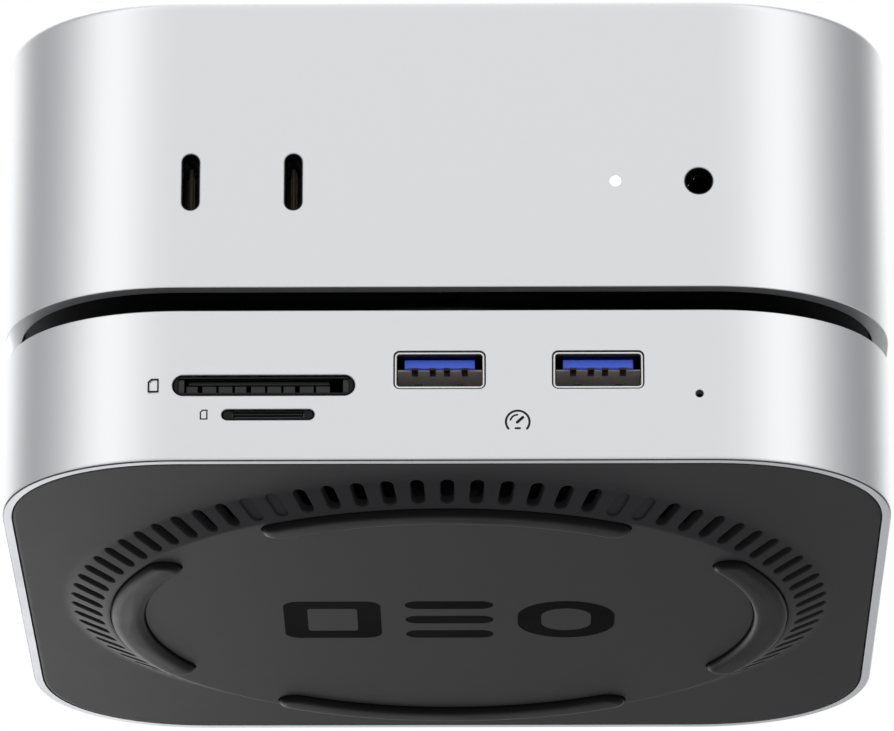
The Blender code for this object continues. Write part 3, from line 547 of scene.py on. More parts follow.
def new_piece(name: str, mesh: bmesh.types.BMesh, crease: float = 28.0) -> bpy.types.Object:
    """Turns a finished bmesh into an object at the origin.

    Args:
        name: The piece's name.
        mesh: The bmesh, which is freed.
        crease: The angle in degrees past which an edge shades sharp.

    Returns:
        The object.
    """
    bmesh.ops.remove_doubles(mesh, verts=list(mesh.verts), dist=1e-7)
    bmesh.ops.recalc_face_normals(mesh, faces=list(mesh.faces))
    data = bpy.data.meshes.new(name)
    mesh.to_mesh(data)
    mesh.free()
    piece = bpy.data.objects.new(name, data)
    bpy.context.scene.collection.objects.link(piece)
    smooth(data, crease)
    return piece


def smooth(data: bpy.types.Mesh, crease: float = 28.0) -> None:
    """Shades a mesh smooth up to a crease angle in degrees."""
    data.shade_smooth()
    data.set_sharp_from_angle(angle=math.radians(crease))


def carve(piece: bpy.types.Object, cutter: bmesh.types.BMesh, crease: float = 28.0) -> None:
    """Cuts every closed shape in a bmesh out of a piece, and applies the cut.

    Args:
        piece: The piece.
        cutter: The shapes, which are freed.
        crease: The angle in degrees past which an edge shades sharp.
    """
    helper = new_piece(piece.name + "_cutter", cutter)
    boolean = piece.modifiers.new("Carve", "BOOLEAN")
    boolean.operation = "DIFFERENCE"
    boolean.object = helper
    bpy.context.view_layer.update()
    graph = bpy.context.evaluated_depsgraph_get()
    data = bpy.data.meshes.new_from_object(piece.evaluated_get(graph))
    piece.modifiers.clear()
    tidied = bmesh.new()
    tidied.from_mesh(data)
    bmesh.ops.remove_doubles(tidied, verts=list(tidied.verts), dist=2e-7)
    bmesh.ops.dissolve_degenerate(tidied, dist=1e-7, edges=list(tidied.edges))
    tidied.to_mesh(data)
    tidied.free()
    piece.data = data
    data.name = piece.name
    smooth(data, crease)
    spare = helper.data
    bpy.data.objects.remove(helper)
    bpy.data.meshes.remove(spare)


def dress(piece: bpy.types.Object, finish: Finish, body: Body, slot: str, *stands_for: str) -> bpy.types.Object:
    """Gives a piece its finish, and the body that it rides on.

    Args:
        piece: The piece.
        finish: What it is made of.
        body: The body it moves with.
        slot: The name of a material slot; not used.
        *stands_for: The CAD nodes that it replaces.

    Returns:
        The piece.
    """
    piece.data.materials.clear()
    piece.data.materials.append(finish.material())
    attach(piece, body.value)
    if stands_for:
        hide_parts(*stands_for)
    LOG.info("%s: %s on %s", piece.name, finish.name, body.value)
    return piece


def finish_faces(
    piece: bpy.types.Object, finish: Finish, heights: tuple[float, float], slopes: tuple[float, float]
) -> None:
    """Gives the faces between two heights, and between two slopes, a finish of their own.

    Args:
        piece: The piece, already dressed.
        finish: Their finish.
        heights: The lower and the upper height of their middles.
        slopes: The least and the most Z of their normals.
    """
    piece.data.materials.append(finish.material())
    for face in piece.data.polygons:
        if heights[0] < face.center.z < heights[1] and slopes[0] < face.normal.z < slopes[1]:
            face.material_index = len(piece.data.materials) - 1


def dress_node(node: str, finish: Finish) -> None:
    """Gives a CAD node, whose shape is kept, its finish."""
    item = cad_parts[node]
    item.data.materials.clear()
    item.data.materials.append(finish.material())
    LOG.info("%s: %s", node, finish.name)


def centre_of(node: str) -> Vector:
    """The middle of a CAD node's box."""
    low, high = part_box(node)
    return (low + high) / 2


def port_cutter(
    mesh: bmesh.types.BMesh, outline: Outline, x: float, z: float, side: Side, flare: float = 0.12 * MM,
    depth: float = 3.6 * MM,
) -> None:
    """Adds the cutter of a hole in the front or rear wall, with a fine chamfer at its mouth.

    Args:
        mesh: The bmesh of cutters.
        outline: The hole's shape.
        x: The hole's place across the wall.
        z: Its height.
        side: The wall it is in.
        flare: The chamfer's width.
        depth: How far in it reaches.
    """
    inward = -side.value
    face = side.value * 63.5 * MM
    past = 0.6 * MM
    mouth = (outline.grown(flare + past), face - inward * past)
    loft(mesh, row(x, z, mouth, (outline, face + inward * flare), (outline, face + inward * depth)))


# The PC


@dataclass
class Housing:
    """The PC's milled housing: one billet, open below, with its ports cut through the walls."""

    wall: float = 2.4 * MM
    roof: float = 2.0 * MM
    top_round: float = 1.1 * MM
    foot_chamfer: float = 0.1 * MM
    usb_c: Slab = field(default_factory=lambda: slot_outline(2.6 * MM, 8.6 * MM, 8))

    def build(self) -> None:
        """Makes the housing and cuts its ports."""
        low, high = (corner.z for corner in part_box("pc_housing"))
        mesh = bmesh.new()
        inside = Squircle(self.wall)
        sections: list[Section] = [(inside, flat(high - self.roof)), (inside, flat(low + 0.2 * MM))]
        sections.append((Squircle(self.wall - 0.2 * MM), flat(low)))
        sections.append((Squircle(self.foot_chamfer), flat(low)))
        sections.append((Squircle(), flat(low + self.foot_chamfer)))
        sections.append((Squircle(), flat(high - self.top_round - 0.5 * MM)))
        sections += [(Squircle(inward), flat(high - down)) for inward, down in rounding(self.top_round, 6)]
        sections.append((Squircle(self.top_round + 0.5 * MM), flat(high)))
        loft(mesh, sections)
        piece = new_piece("milled_housing", mesh)
        carve(piece, self.port_cutters())
        dress(piece, ALUMINIUM, Body.COMPUTER, "anodised_aluminium", "pc_housing")

    def port_cutters(self) -> bmesh.types.BMesh:
        """All of the housing's ports, as cutters."""
        cutters = bmesh.new()
        for node in ("front_usb_c_left_shell", "front_usb_c_right_shell"):
            middle = centre_of(node)
            port_cutter(cutters, self.usb_c, middle.x, middle.z, Side.FRONT, 0.1 * MM)
        for node in ("rear_usb_c_inner_shell", "rear_usb_c_middle_shell", "rear_usb_c_outer_shell"):
            middle = centre_of(node)
            port_cutter(cutters, self.usb_c, middle.x, middle.z, Side.REAR)
        light, jack = centre_of("status_light"), centre_of("headphone_jack")
        port_cutter(cutters, Disc(0.78 * MM, 48), light.x, light.z, Side.FRONT, 0.01 * MM)
        port_cutter(cutters, Disc(2.03 * MM, 64), jack.x, jack.z, Side.FRONT, 0.1 * MM)
        inlet = centre_of("power_inlet")
        port_cutter(cutters, slot_outline(14.8 * MM, 8.0 * MM, 16), inlet.x, inlet.z - 0.4 * MM, Side.REAR)
        network, display = centre_of("ethernet_jack"), centre_of("hdmi_socket")
        port_cutter(cutters, Slab(14.2 * MM, 12.0 * MM, 1.2 * MM), network.x, network.z, Side.REAR)
        port_cutter(cutters, Slab(15.2 * MM, 6.0 * MM, 1.2 * MM), display.x, display.z, Side.REAR)
        return cutters


@dataclass
class UsbC:
    """A USB-C receptacle: a seamless shell and the thin tongue with its row of contacts."""

    shell: str
    tongue: str
    side: Side
    body: Body
    upright: bool = True

    def place(self, outline_y: float) -> Matrix:
        """Places an outline at a depth, on its side where the port lies flat."""
        middle = centre_of(self.shell)
        turn = Matrix.Identity(4) if self.upright else Matrix.Rotation(math.pi / 2, 4, "Z")
        return upright(middle.x, outline_y, middle.z) @ turn

    def build(self) -> None:
        """Makes the shell and the tongue."""
        low, high = (corner.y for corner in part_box(self.shell))
        face, back = (low, high) if self.side is Side.FRONT else (high, low)
        inward = math.copysign(1.0, back - face)
        outer, inner = slot_outline(3.5 * MM, 9.5 * MM, 8), slot_outline(2.7 * MM, 8.7 * MM, 8)
        lip = 0.12 * MM
        mesh = bmesh.new()
        loft(
            mesh,
            [
                (outer, self.place(back)),
                (outer, self.place(face + inward * lip)),
                (outer.grown(-lip), self.place(face)),
                (inner.grown(lip), self.place(face)),
                (inner, self.place(face + inward * lip)),
                (inner, self.place(back)),
            ],
            Ends.RING,
        )
        dress(new_piece(self.shell + "_drawn", mesh), NICKEL, self.body, "nickel_steel", self.shell)
        mesh = bmesh.new()
        carrier = slot_outline(2.3 * MM, 8.3 * MM, 8)
        blade = Slab(0.72 * MM, 6.5 * MM, 0.2 * MM, 3)
        prism(mesh, carrier, self.place(back), self.place(back - inward * 2.5 * MM))
        nose = face + inward * 0.5 * MM
        sections = [(blade, self.place(back - inward * 2.2 * MM)), (blade, self.place(nose + inward * 0.2 * MM))]
        sections.append((blade.grown(-0.18 * MM), self.place(nose)))
        loft(mesh, sections)
        dress(new_piece(self.tongue + "_moulded", mesh), CHARCOAL_ABS, self.body, "black_plastic", self.tongue)
        mesh = bmesh.new()
        for index in range(12):
            offset = (index - 5.5) * 0.5 * MM
            for cheek in (-1, 1):
                pad = Slab(0.06 * MM, 0.28 * MM, 0.02 * MM, 1)
                shift = Matrix.Translation((cheek * 0.37 * MM, offset, 0.0))
                places = (self.place(y) @ shift for y in (back - inward * 2.6 * MM, nose + inward * 0.9 * MM))
                prism(mesh, pad, *places)
        dress(new_piece(self.tongue + "_contacts", mesh), GOLD, self.body, "nickel_steel")


@dataclass
class Sleeves:
    """Thin black collars that line the PC's front ports, between the wall's face and the sockets behind."""

    thick: float = 0.14 * MM

    def build(self) -> None:
        """Makes the three collars."""
        mesh = bmesh.new()
        port, jack = slot_outline(2.6 * MM, 8.6 * MM, 8), Disc(2.03 * MM, 64)
        for node, outline in (
            ("front_usb_c_left_shell", port),
            ("front_usb_c_right_shell", port),
            ("headphone_jack", jack),
        ):
            middle = centre_of(node)
            outer, inner = outline.grown(-0.01 * MM), outline.grown(-self.thick)
            front, back = (upright(middle.x, y * MM, middle.z) for y in (-63.36, -60.85))
            loft(mesh, [(outer, back), (outer, front), (inner, front), (inner, back)], Ends.RING)
        dress(new_piece("port_sleeves", mesh), BLACK_ABS, Body.COMPUTER, "black_plastic")


@dataclass
class FrontDetails:
    """The status light and the headphone jack."""

    light_radius: float = 0.76 * MM
    jack_bore: float = 1.75 * MM

    def build(self) -> None:
        """Makes both."""
        light = centre_of("status_light")
        mesh = bmesh.new()
        flange, pipe, tip = (Disc(radius, 48) for radius in (1.6 * MM, self.light_radius, self.light_radius * 0.8))
        steps = ((flange, -59.2), (flange, -60.8), (pipe, -60.8), (pipe, -63.3), (tip, -63.42))
        loft(mesh, row(light.x, light.z, *((outline, y * MM) for outline, y in steps)))
        dress(new_piece("light_pipe", mesh), LIT_LENS, Body.COMPUTER, "clear_lens", "status_light")
        jack = centre_of("headphone_jack")
        mesh = bmesh.new()
        face, back = -60.8 * MM, -47.8 * MM
        end, bore, barrel = Disc(1.0 * MM, 48), Disc(self.jack_bore, 48), Disc(3.4 * MM, 48)
        loft(mesh, row(
            jack.x, jack.z, (end, back + 0.1 * MM), (bore, back + 0.1 * MM), (bore, face + 0.25 * MM),
            (bore.grown(0.25 * MM), face), (barrel, face), (barrel, back - 0.5 * MM),
        ))
        dress(new_piece("jack_barrel", mesh), BLACK_ABS, Body.COMPUTER, "black_plastic", "headphone_jack")
        mesh = bmesh.new()
        for across, rise in ((-0.66, 1.5), (-1.45, 0.5)):
            place = Matrix.Translation((jack.x + across * MM, face + 0.5 * MM, jack.z + rise * MM))
            bmesh.ops.create_icosphere(mesh, subdivisions=2, radius=0.16 * MM, matrix=place)
        dress(new_piece("jack_springs", mesh), NICKEL, Body.COMPUTER, "nickel_steel")


@dataclass
class RearSockets:
    """The power inlet, the network jack and the display socket."""

    def build(self) -> None:
        """Makes all three."""
        self.inlet()
        self.network()
        self.display()

    def inlet(self) -> None:
        """Makes the figure-eight inlet, with its two pins."""
        low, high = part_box("power_inlet")
        middle = centre_of("power_inlet")
        z = middle.z - 0.4 * MM
        well = slot_outline(14.4 * MM, 7.6 * MM, 16)
        mesh = bmesh.new()
        body = Slab(18.0 * MM, 11.0 * MM, 1.0 * MM)
        outside = row(middle.x, middle.z, (body, low.y), (body, high.y))
        mouth, floor = (well.grown(0.3 * MM), high.y), (well, high.y - 12 * MM)
        loft(mesh, outside + row(middle.x, z, mouth, (well, high.y - 0.3 * MM), floor))
        dress(new_piece("inlet_body", mesh), BLACK_ABS, Body.COMPUTER, "black_plastic", "power_inlet")
        mesh = bmesh.new()
        for side in (-1, 1):
            x = middle.x + side * 4.3 * MM
            pin = Disc(1.2 * MM, 32)
            sections: list[Section] = [(pin, upright(x, high.y - 12.4 * MM, z))]
            sections += [(pin.grown(-inward), upright(x, high.y - 0.6 * MM - down, z))
                         for inward, down in rounding(1.0 * MM, 5)]
            loft(mesh, sections)
        dress(new_piece("inlet_pins", mesh), NICKEL, Body.COMPUTER, "nickel_steel")

    def network(self) -> None:
        """Makes the network jack: a shielded body with eight springs and two small lights."""
        low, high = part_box("ethernet_jack")
        middle = centre_of("ethernet_jack")
        x, z, mouth = middle.x, middle.z, high.y
        mesh = bmesh.new()
        nose, body = Slab(13.8 * MM, 11.6 * MM, 1.0 * MM), Slab(15.6 * MM, 13.0 * MM, 0.6 * MM)
        shoulder = 60.8 * MM
        loft(mesh, row(
            x, z, (body, low.y), (body, shoulder), (nose, shoulder), (nose, mouth - 0.1 * MM),
            (nose.grown(-0.1 * MM), mouth),
        ))
        piece = new_piece("network_body", mesh)
        cutters = bmesh.new()
        brick(cutters, (x - 5.9 * MM, mouth - 15.0 * MM, z - 2.4 * MM), (x + 5.9 * MM, mouth + 1 * MM, z + 4.4 * MM))
        carve(piece, cutters)
        cutters = bmesh.new()
        brick(cutters, (x - 3.0 * MM, mouth - 15.0 * MM, z - 4.4 * MM), (x + 3.0 * MM, mouth + 1 * MM, z - 2.2 * MM))
        carve(piece, cutters)
        dress(piece, BLACK_ABS, Body.COMPUTER, "black_plastic", "ethernet_jack")
        mesh = bmesh.new()
        for index in range(8):
            offset = x + (index - 3.5) * 1.02 * MM
            strip = bmesh.ops.create_cube(mesh, size=1.0)["verts"]
            bmesh.ops.scale(mesh, vec=(0.45 * MM, 8.0 * MM, 0.3 * MM), verts=strip)
            bmesh.ops.rotate(mesh, verts=strip, matrix=Matrix.Rotation(math.radians(20), 3, "X"))
            bmesh.ops.translate(mesh, vec=(offset, mouth - 8.5 * MM, z + 2.3 * MM), verts=strip)
        dress(new_piece("network_springs", mesh), GOLD, Body.COMPUTER, "nickel_steel")

    def display(self) -> None:
        """Makes the display socket: a folded shell with a contact carrier in its middle."""
        low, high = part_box("hdmi_socket")
        middle = centre_of("hdmi_socket")
        x, z, mouth, shoulder = middle.x, middle.z, high.y, 60.8 * MM
        nose, body = Slab(14.8 * MM, 5.6 * MM, 1.0 * MM), Slab(15.6 * MM, 6.4 * MM, 0.6 * MM)
        inner = Slab(14.0 * MM, 4.8 * MM, 0.7 * MM)
        mesh = bmesh.new()
        lip = 0.12 * MM
        loft(mesh, row(
            x, z, (body, low.y), (body, shoulder), (nose, shoulder), (nose, mouth - lip), (nose.grown(-lip), mouth),
            (inner.grown(lip), mouth), (inner, mouth - lip), (inner, mouth - 9.0 * MM),
        ))
        piece = new_piece("display_shell", mesh)
        dress(piece, NICKEL, Body.COMPUTER, "nickel_steel", "hdmi_socket")
        mesh = bmesh.new()
        for side in (-1, 1):
            chin = Slab(2.4 * MM, 2.4 * MM, 0.1 * MM, 2)
            turn = Matrix.Rotation(math.pi / 4, 4, "Z")
            ends = (mouth - 9.0 * MM, mouth - 0.2 * MM)
            prism(mesh, chin, *(upright(x + side * 7.0 * MM, y, z - 2.4 * MM) @ turn for y in ends))
        blade = Slab(11.0 * MM, 1.1 * MM, 0.2 * MM, 3)
        prism(mesh, blade, upright(x, mouth - 9.0 * MM, z + 0.3 * MM), upright(x, mouth - 1.0 * MM, z + 0.3 * MM))
        dress(new_piece("display_carrier", mesh), BLACK_ABS, Body.COMPUTER, "black_plastic")


@dataclass
class FootVents:
    """The PC's round foot: a sloping wall of upright vents above a flat floor."""

    top_radius: float = 53.0 * MM
    base_radius: float = 50.0 * MM
    skin: float = 1.5 * MM
    vents: int = 40

    def build(self) -> None:
        """Makes the foot and cuts its vents."""
        low, high = (corner.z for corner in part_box("pc_foot"))
        top, base, skin = self.top_radius, self.base_radius, self.skin
        mesh = bmesh.new()
        loft(
            mesh,
            [
                (Disc(base - skin), flat(low + skin)),
                (Disc(top - skin), flat(high)),
                (Disc(top), flat(high)),
                (Disc(base + 0.1 * MM), flat(low + 0.6 * MM)),
                (Disc(base - 0.5 * MM), flat(low)),
            ],
        )
        piece = new_piece("vented_foot", mesh)
        cutters = bmesh.new()
        vent = slot_outline(4.0 * MM, 3.0 * MM, 4)
        for index in range(self.vents):
            turn = Matrix.Rotation(math.tau * index / self.vents, 4, "Z")
            place = [turn @ upright(0.0, y, 27.7 * MM) for y in (44 * MM, 58 * MM)]
            prism(cutters, vent, *place)
        carve(piece, cutters)
        dress(piece, BLACK_ABS, Body.COMPUTER, "black_plastic", "pc_foot")


# The hub


@dataclass
class HubShell:
    """The hub's milled shell, with the same outline as the PC and a round opening in its deck."""

    wall: float = 2.0 * MM
    deck: float = 1.8 * MM
    rim: float = 1.3 * MM
    edge: float = 0.22 * MM
    top_edge: float = 0.12 * MM
    opening: float = 54.5 * MM

    def build(self) -> None:
        """Makes the shell and cuts its openings."""
        low, high = (corner.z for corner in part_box("hub_shell"))
        inside, lip, step = Squircle(self.wall), Squircle(self.rim), low + 1.8 * MM
        mesh = bmesh.new()
        sections: list[Section] = [
            (inside, flat(high - self.deck)),
            (inside, flat(step)),
            (lip, flat(step)),
            (lip, flat(low)),
            (Squircle(self.edge), flat(low)),
            (Squircle(0.05 * MM), flat(low + self.edge - 0.05 * MM)),
            (Squircle(), flat(low + self.edge + 0.06 * MM)),
            (Squircle(), flat(low + self.edge + 0.4 * MM)),
            (Squircle(), flat(high - self.top_edge)),
            (Squircle(self.top_edge), flat(high)),
        ]
        loft(mesh, sections)
        piece = new_piece("milled_hub_shell", mesh)
        cutters = bmesh.new()
        opening = Disc(self.opening)
        mouth = (opening.grown(1.3 * MM), flat(high + 1 * MM))
        loft(cutters, [(opening, flat(high - 4 * MM)), (opening, flat(high - 0.3 * MM)), mouth])
        carve(piece, cutters)
        carve(piece, self.port_cutters())
        carve(piece, engravings(0.06 * MM))
        dress(piece, ALUMINIUM, Body.HUB, "anodised_aluminium", "hub_shell")
        # The bottom chamfer takes the dark finish: painted shade along the hub's lower edge.
        finish_faces(piece, CHAMFER_PAINTED_SHADE, (low, low + self.edge), (-0.8, -0.6))
        # The down-facing land takes a darker copy of the aluminium: painted shade, besides its real rise in
        # roughness.
        finish_faces(piece, DULL_LAND_PAINTED_SHADE, (low - 0.01 * MM, low + 0.01 * MM), (-1.1, -0.95))

    def port_cutters(self) -> bmesh.types.BMesh:
        """The card slots, the USB ports, the pinhole and the host port, as cutters."""
        cutters = bmesh.new()
        card, small = centre_of("sd_socket"), centre_of("microsd_socket")
        port_cutter(cutters, slot_outline(25.7 * MM, 3.1 * MM, 10), card.x, card.z, Side.FRONT, 0.1 * MM)
        port_cutter(cutters, slot_outline(13.1 * MM, 1.65 * MM, 8), small.x, small.z, Side.FRONT, 0.08 * MM)
        for node in ("usb_a_shell_left", "usb_a_shell_right"):
            middle = centre_of(node)
            port_cutter(cutters, Slab(12.98 * MM, 5.73 * MM, 0.88 * MM), middle.x, middle.z, Side.FRONT, 0.02 * MM)
        pin, host = centre_of("hub_light_pipe"), centre_of("host_port_shell")
        port_cutter(cutters, Disc(0.58 * MM, 24), pin.x, pin.z, Side.FRONT, 0.04 * MM)
        port_cutter(cutters, slot_outline(9.2 * MM, 3.4 * MM, 10), host.x, host.z, Side.REAR)
        return cutters


@dataclass(frozen=True)
class CardSign(Outline):
    """A memory card seen from the front, with its clipped corner."""

    width: float
    height: float

    def points(self) -> list[Vector]:
        """The five corners."""
        x, y, clip = self.width / 2, self.height / 2, self.width * 0.32
        corners = ((x, y), (-x + clip, y), (-x, y - clip), (-x, -y), (x, -y))
        return [Vector(corner) for corner in corners]

    def grown(self, by: float) -> "CardSign":
        """A larger card."""
        return replace(self, width=self.width + 2 * by, height=self.height + 2 * by)


def engravings(depth: float, inset: float = 0.0) -> bmesh.types.BMesh:
    """The signs beside the hub's ports, as closed shapes through the front face.

    Args:
        depth: How deep behind the face they reach.
        inset: How far behind the face they start, or less than nothing to start in front of it.

    Returns:
        The shapes.
    """
    mesh = bmesh.new()
    face = -63.5 * MM
    ahead = face + inset if inset else face - 0.5 * MM
    small, large = centre_of("microsd_socket"), centre_of("sd_socket")
    line = 0.2 * MM
    for sign, x, z in (
        (CardSign(1.55 * MM, 2.0 * MM), large.x - 15.5 * MM, large.z),
        (CardSign(1.1 * MM, 1.5 * MM), small.x - 9.0 * MM, small.z),
    ):
        inner, behind = sign.grown(-line), face + depth
        loft(mesh, row(x, z, (sign, ahead), (sign, behind), (inner, behind), (inner, ahead)), Ends.RING)
    # A dial: most of a ring, two short ticks and a needle
    x, z = 10.2 * MM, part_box("hub_shell")[0].z + 5.7 * MM
    parts: list[tuple[Outline, Matrix]] = [
        (ArcBar(1.65 * MM, 0.32 * MM, 128.0, 90.0, 40, 5), Matrix.Identity(4)),
        (ArcBar(1.05 * MM, 0.26 * MM, 36.0, 128.0, 12, 4), Matrix.Identity(4)),
        (slot_outline(1.5 * MM, 0.42 * MM, 4),
         Matrix.Translation((0.32 * MM, 0.3 * MM, 0.0)) @ Matrix.Rotation(math.radians(43), 4, "Z")),
        (slot_outline(0.9 * MM, 0.32 * MM, 4), Matrix.Translation((0.0, -0.95 * MM, 0.0))),
    ]
    for outline, turn in parts:
        prism(mesh, outline, upright(x, ahead, z) @ turn, upright(x, face + depth, z) @ turn)
    return mesh


@dataclass
class BaseCover:
    """The plate under the hub, with the round boss and its ring of vents.

    The blind vents, which are only marked, are counted from the front and from the back.
    """

    plate_inset: float = 1.5 * MM
    base_radius: float = 55.9 * MM
    face_radius: float = 50.4 * MM
    skin: float = 1.5 * MM
    slots: int = 80
    blind: tuple[int, ...] = (6, 7)
    slot_length: float = 4.84 * MM
    slot_width: float = 1.92 * MM
    slot_centre: float = 53.3 * MM
    sign_y: float = 1.2 * MM

    def levels(self) -> tuple[float, float, float]:
        """The heights of the boss's face, of the plate's underside and of its top."""
        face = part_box("base_cover")[0].z
        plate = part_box("hub_shell")[0].z
        return face, plate, plate + 1.6 * MM

    def build(self) -> None:
        """Makes the cover, cuts the vents and the grooves, and prints the sign."""
        face, plate, top = self.levels()
        rise, run = plate - face, self.base_radius - self.face_radius
        slope = math.atan2(rise, run)
        sections: list[Section] = [
            (Disc(self.face_radius - 1.2 * MM), flat(face + self.skin)),
            (Disc(self.face_radius - 0.3 * MM), flat(face + self.skin)),
            (Disc(self.base_radius - 0.3 * MM), flat(top - 0.05 * MM)),
            (Disc(self.base_radius), flat(top)),
            (Squircle(self.plate_inset), flat(top)),
            (Squircle(self.plate_inset), flat(plate + 0.2 * MM)),
            (Squircle(self.plate_inset + 0.06 * MM), flat(plate + 0.06 * MM)),
            (Squircle(self.plate_inset + 0.2 * MM), flat(plate)),
            (Squircle(self.plate_inset + 0.5 * MM), flat(plate)),
        ]
        sections += self.bend(self.base_radius, plate, slope, (1.3 * MM, 0.8 * MM), -1.0)
        sections += self.bend(self.face_radius, face, slope, (0.35 * MM, 0.35 * MM), 1.0)
        sections.append((Disc(self.face_radius - 1.2 * MM), flat(face)))
        mesh = bmesh.new()
        loft(mesh, sections)
        piece = new_piece("vented_base_cover", mesh, 24.0)
        carve(piece, self.vent_cutters(slope, True), 24.0)
        carve(piece, self.vent_cutters(slope, False), 24.0)
        carve(piece, self.groove_cutters(face), 24.0)
        dress(piece, GREY_NYLON, Body.HUB, "dark_grey_plastic", "base_cover")
        self.sign(face)

    def bend(
        self, radius: float, height: float, slope: float, sizes: tuple[float, float], turn: float
    ) -> list[Section]:
        """Rounds the meeting of the cone and a level face.

        Args:
            radius: Where the sharp meeting would be.
            height: The level face's height.
            slope: The cone's angle.
            sizes: The lengths that the rounding takes from the level face and from the cone.
            turn: 1 where the cone comes first, -1 where the level face does.

        Returns:
            The sections of the rounding, from the plate towards the middle.
        """
        level = Vector((sizes[0] * -turn, 0.0))
        cone = Vector((math.cos(slope), math.sin(slope))) * sizes[1] * turn
        first, last = (cone, level) if turn > 0 else (level, cone)
        found = []
        for step in range(9):
            share = step / 8
            point = first * (1 - share) ** 2 + last * share**2
            found.append((Disc(radius + point.x), flat(height + point.y)))
        return found

    def vent_cutters(self, slope: float, through: bool) -> bmesh.types.BMesh:
        """The vents, as cutters square to the cone.

        Args:
            slope: The cone's angle.
            through: Whether to make the open vents or those that are only marked.

        Returns:
            The cutters.
        """
        face, plate, _ = self.levels()
        share = (self.slot_centre - self.face_radius) / (self.base_radius - self.face_radius)
        height = face + (plate - face) * share
        vent = slot_outline(self.slot_length, self.slot_width, 5)
        tilt = Matrix.Translation((self.slot_centre, 0.0, height)) @ Matrix.Rotation(-slope, 4, "Y")
        mesh = bmesh.new()
        for index in range(self.slots):
            marked = min(index, self.slots - index) in self.blind or abs(self.slots // 2 - index) in self.blind
            if marked == through:
                continue
            place = Matrix.Rotation(math.radians(-89.75) + math.tau * index / self.slots, 4, "Z") @ tilt
            depth = 3.2 * MM if through else 0.36 * MM
            steps = ((0.72 * MM, -0.5 * MM), (0.06 * MM, 0.07 * MM), (0.0, 0.2 * MM), (0.0, depth))
            loft(mesh, [(vent.grown(flare), place @ flat(level)) for flare, level in steps])
        return mesh

    def groove_cutters(self, face: float) -> bmesh.types.BMesh:
        """The grooves that the four feet are set in, as cutters."""
        mesh = bmesh.new()
        for middle in (-90.0, 0.0, 90.0, 180.0):
            groove = ArcBar(47.3 * MM, 5.3 * MM, 30.2, middle)
            prism(mesh, groove, flat(face - 0.5 * MM), flat(face + 0.5 * MM))
        return mesh

    def sign(self, face: float) -> None:
        """Prints a plain row of shapes in the middle: a frame, three stacked bars and a round-ended loop."""
        mesh = bmesh.new()
        low, high = flat(face - 0.01 * MM), flat(face + 0.2 * MM)
        for level in (-1, 0, 1):
            shift = Matrix.Translation((0.0, self.sign_y + level * 6.9 * MM, 0.0))
            prism(mesh, slot_outline(13.0 * MM, 3.6 * MM, 8), shift @ low, shift @ high)
        frame_in, loop = Slab(7.3 * MM, 10.4 * MM, 0.6 * MM, 16), Slab(14.3 * MM, 17.4 * MM, 7.1 * MM, 16)
        for outer, inner, x in (
            (replace(loop, corner=2.4 * MM), frame_in, -17.2 * MM),
            (loop, loop.grown(-3.5 * MM), 17.2 * MM),
        ):
            shift = Matrix.Translation((x, self.sign_y, 0.0))
            sections = [(outer, shift @ low), (outer, shift @ high), (inner, shift @ high), (inner, shift @ low)]
            loft(mesh, sections, Ends.RING)
        dress(new_piece("base_sign", mesh), BLACK_INK, Body.HUB, "dark_grey_plastic")


@dataclass
class RubberFeet:
    """Four domed bars of rubber, set in grooves round the boss's face."""

    radius: float = 47.3 * MM
    width: float = 4.9 * MM
    half_angle: float = 30.2
    crown: float = 0.82 * MM

    def build(self) -> None:
        """Makes the four feet."""
        for name, middle in (("front", -90.0), ("right", 0.0), ("rear", 90.0), ("left", 180.0)):
            low, high = (corner.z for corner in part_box("foot_" + name))
            bar = ArcBar(self.radius, self.width, self.half_angle, middle)
            sections: list[Section] = [(bar, flat(high))]
            for step in range(9):
                turn = math.radians(10.0 * step)
                narrowing = self.width / 2 * (1 - math.cos(turn) ** 0.5)
                height = low + self.crown * (1 - math.sin(turn) / math.sin(math.radians(80.0)))
                sections.append((bar.grown(-narrowing), flat(height)))
            mesh = bmesh.new()
            loft(mesh, sections)
            piece = new_piece("rubber_foot_" + name, mesh, 50.0)
            dress(piece, SILICONE, Body.HUB, "black_rubber", "foot_" + name)


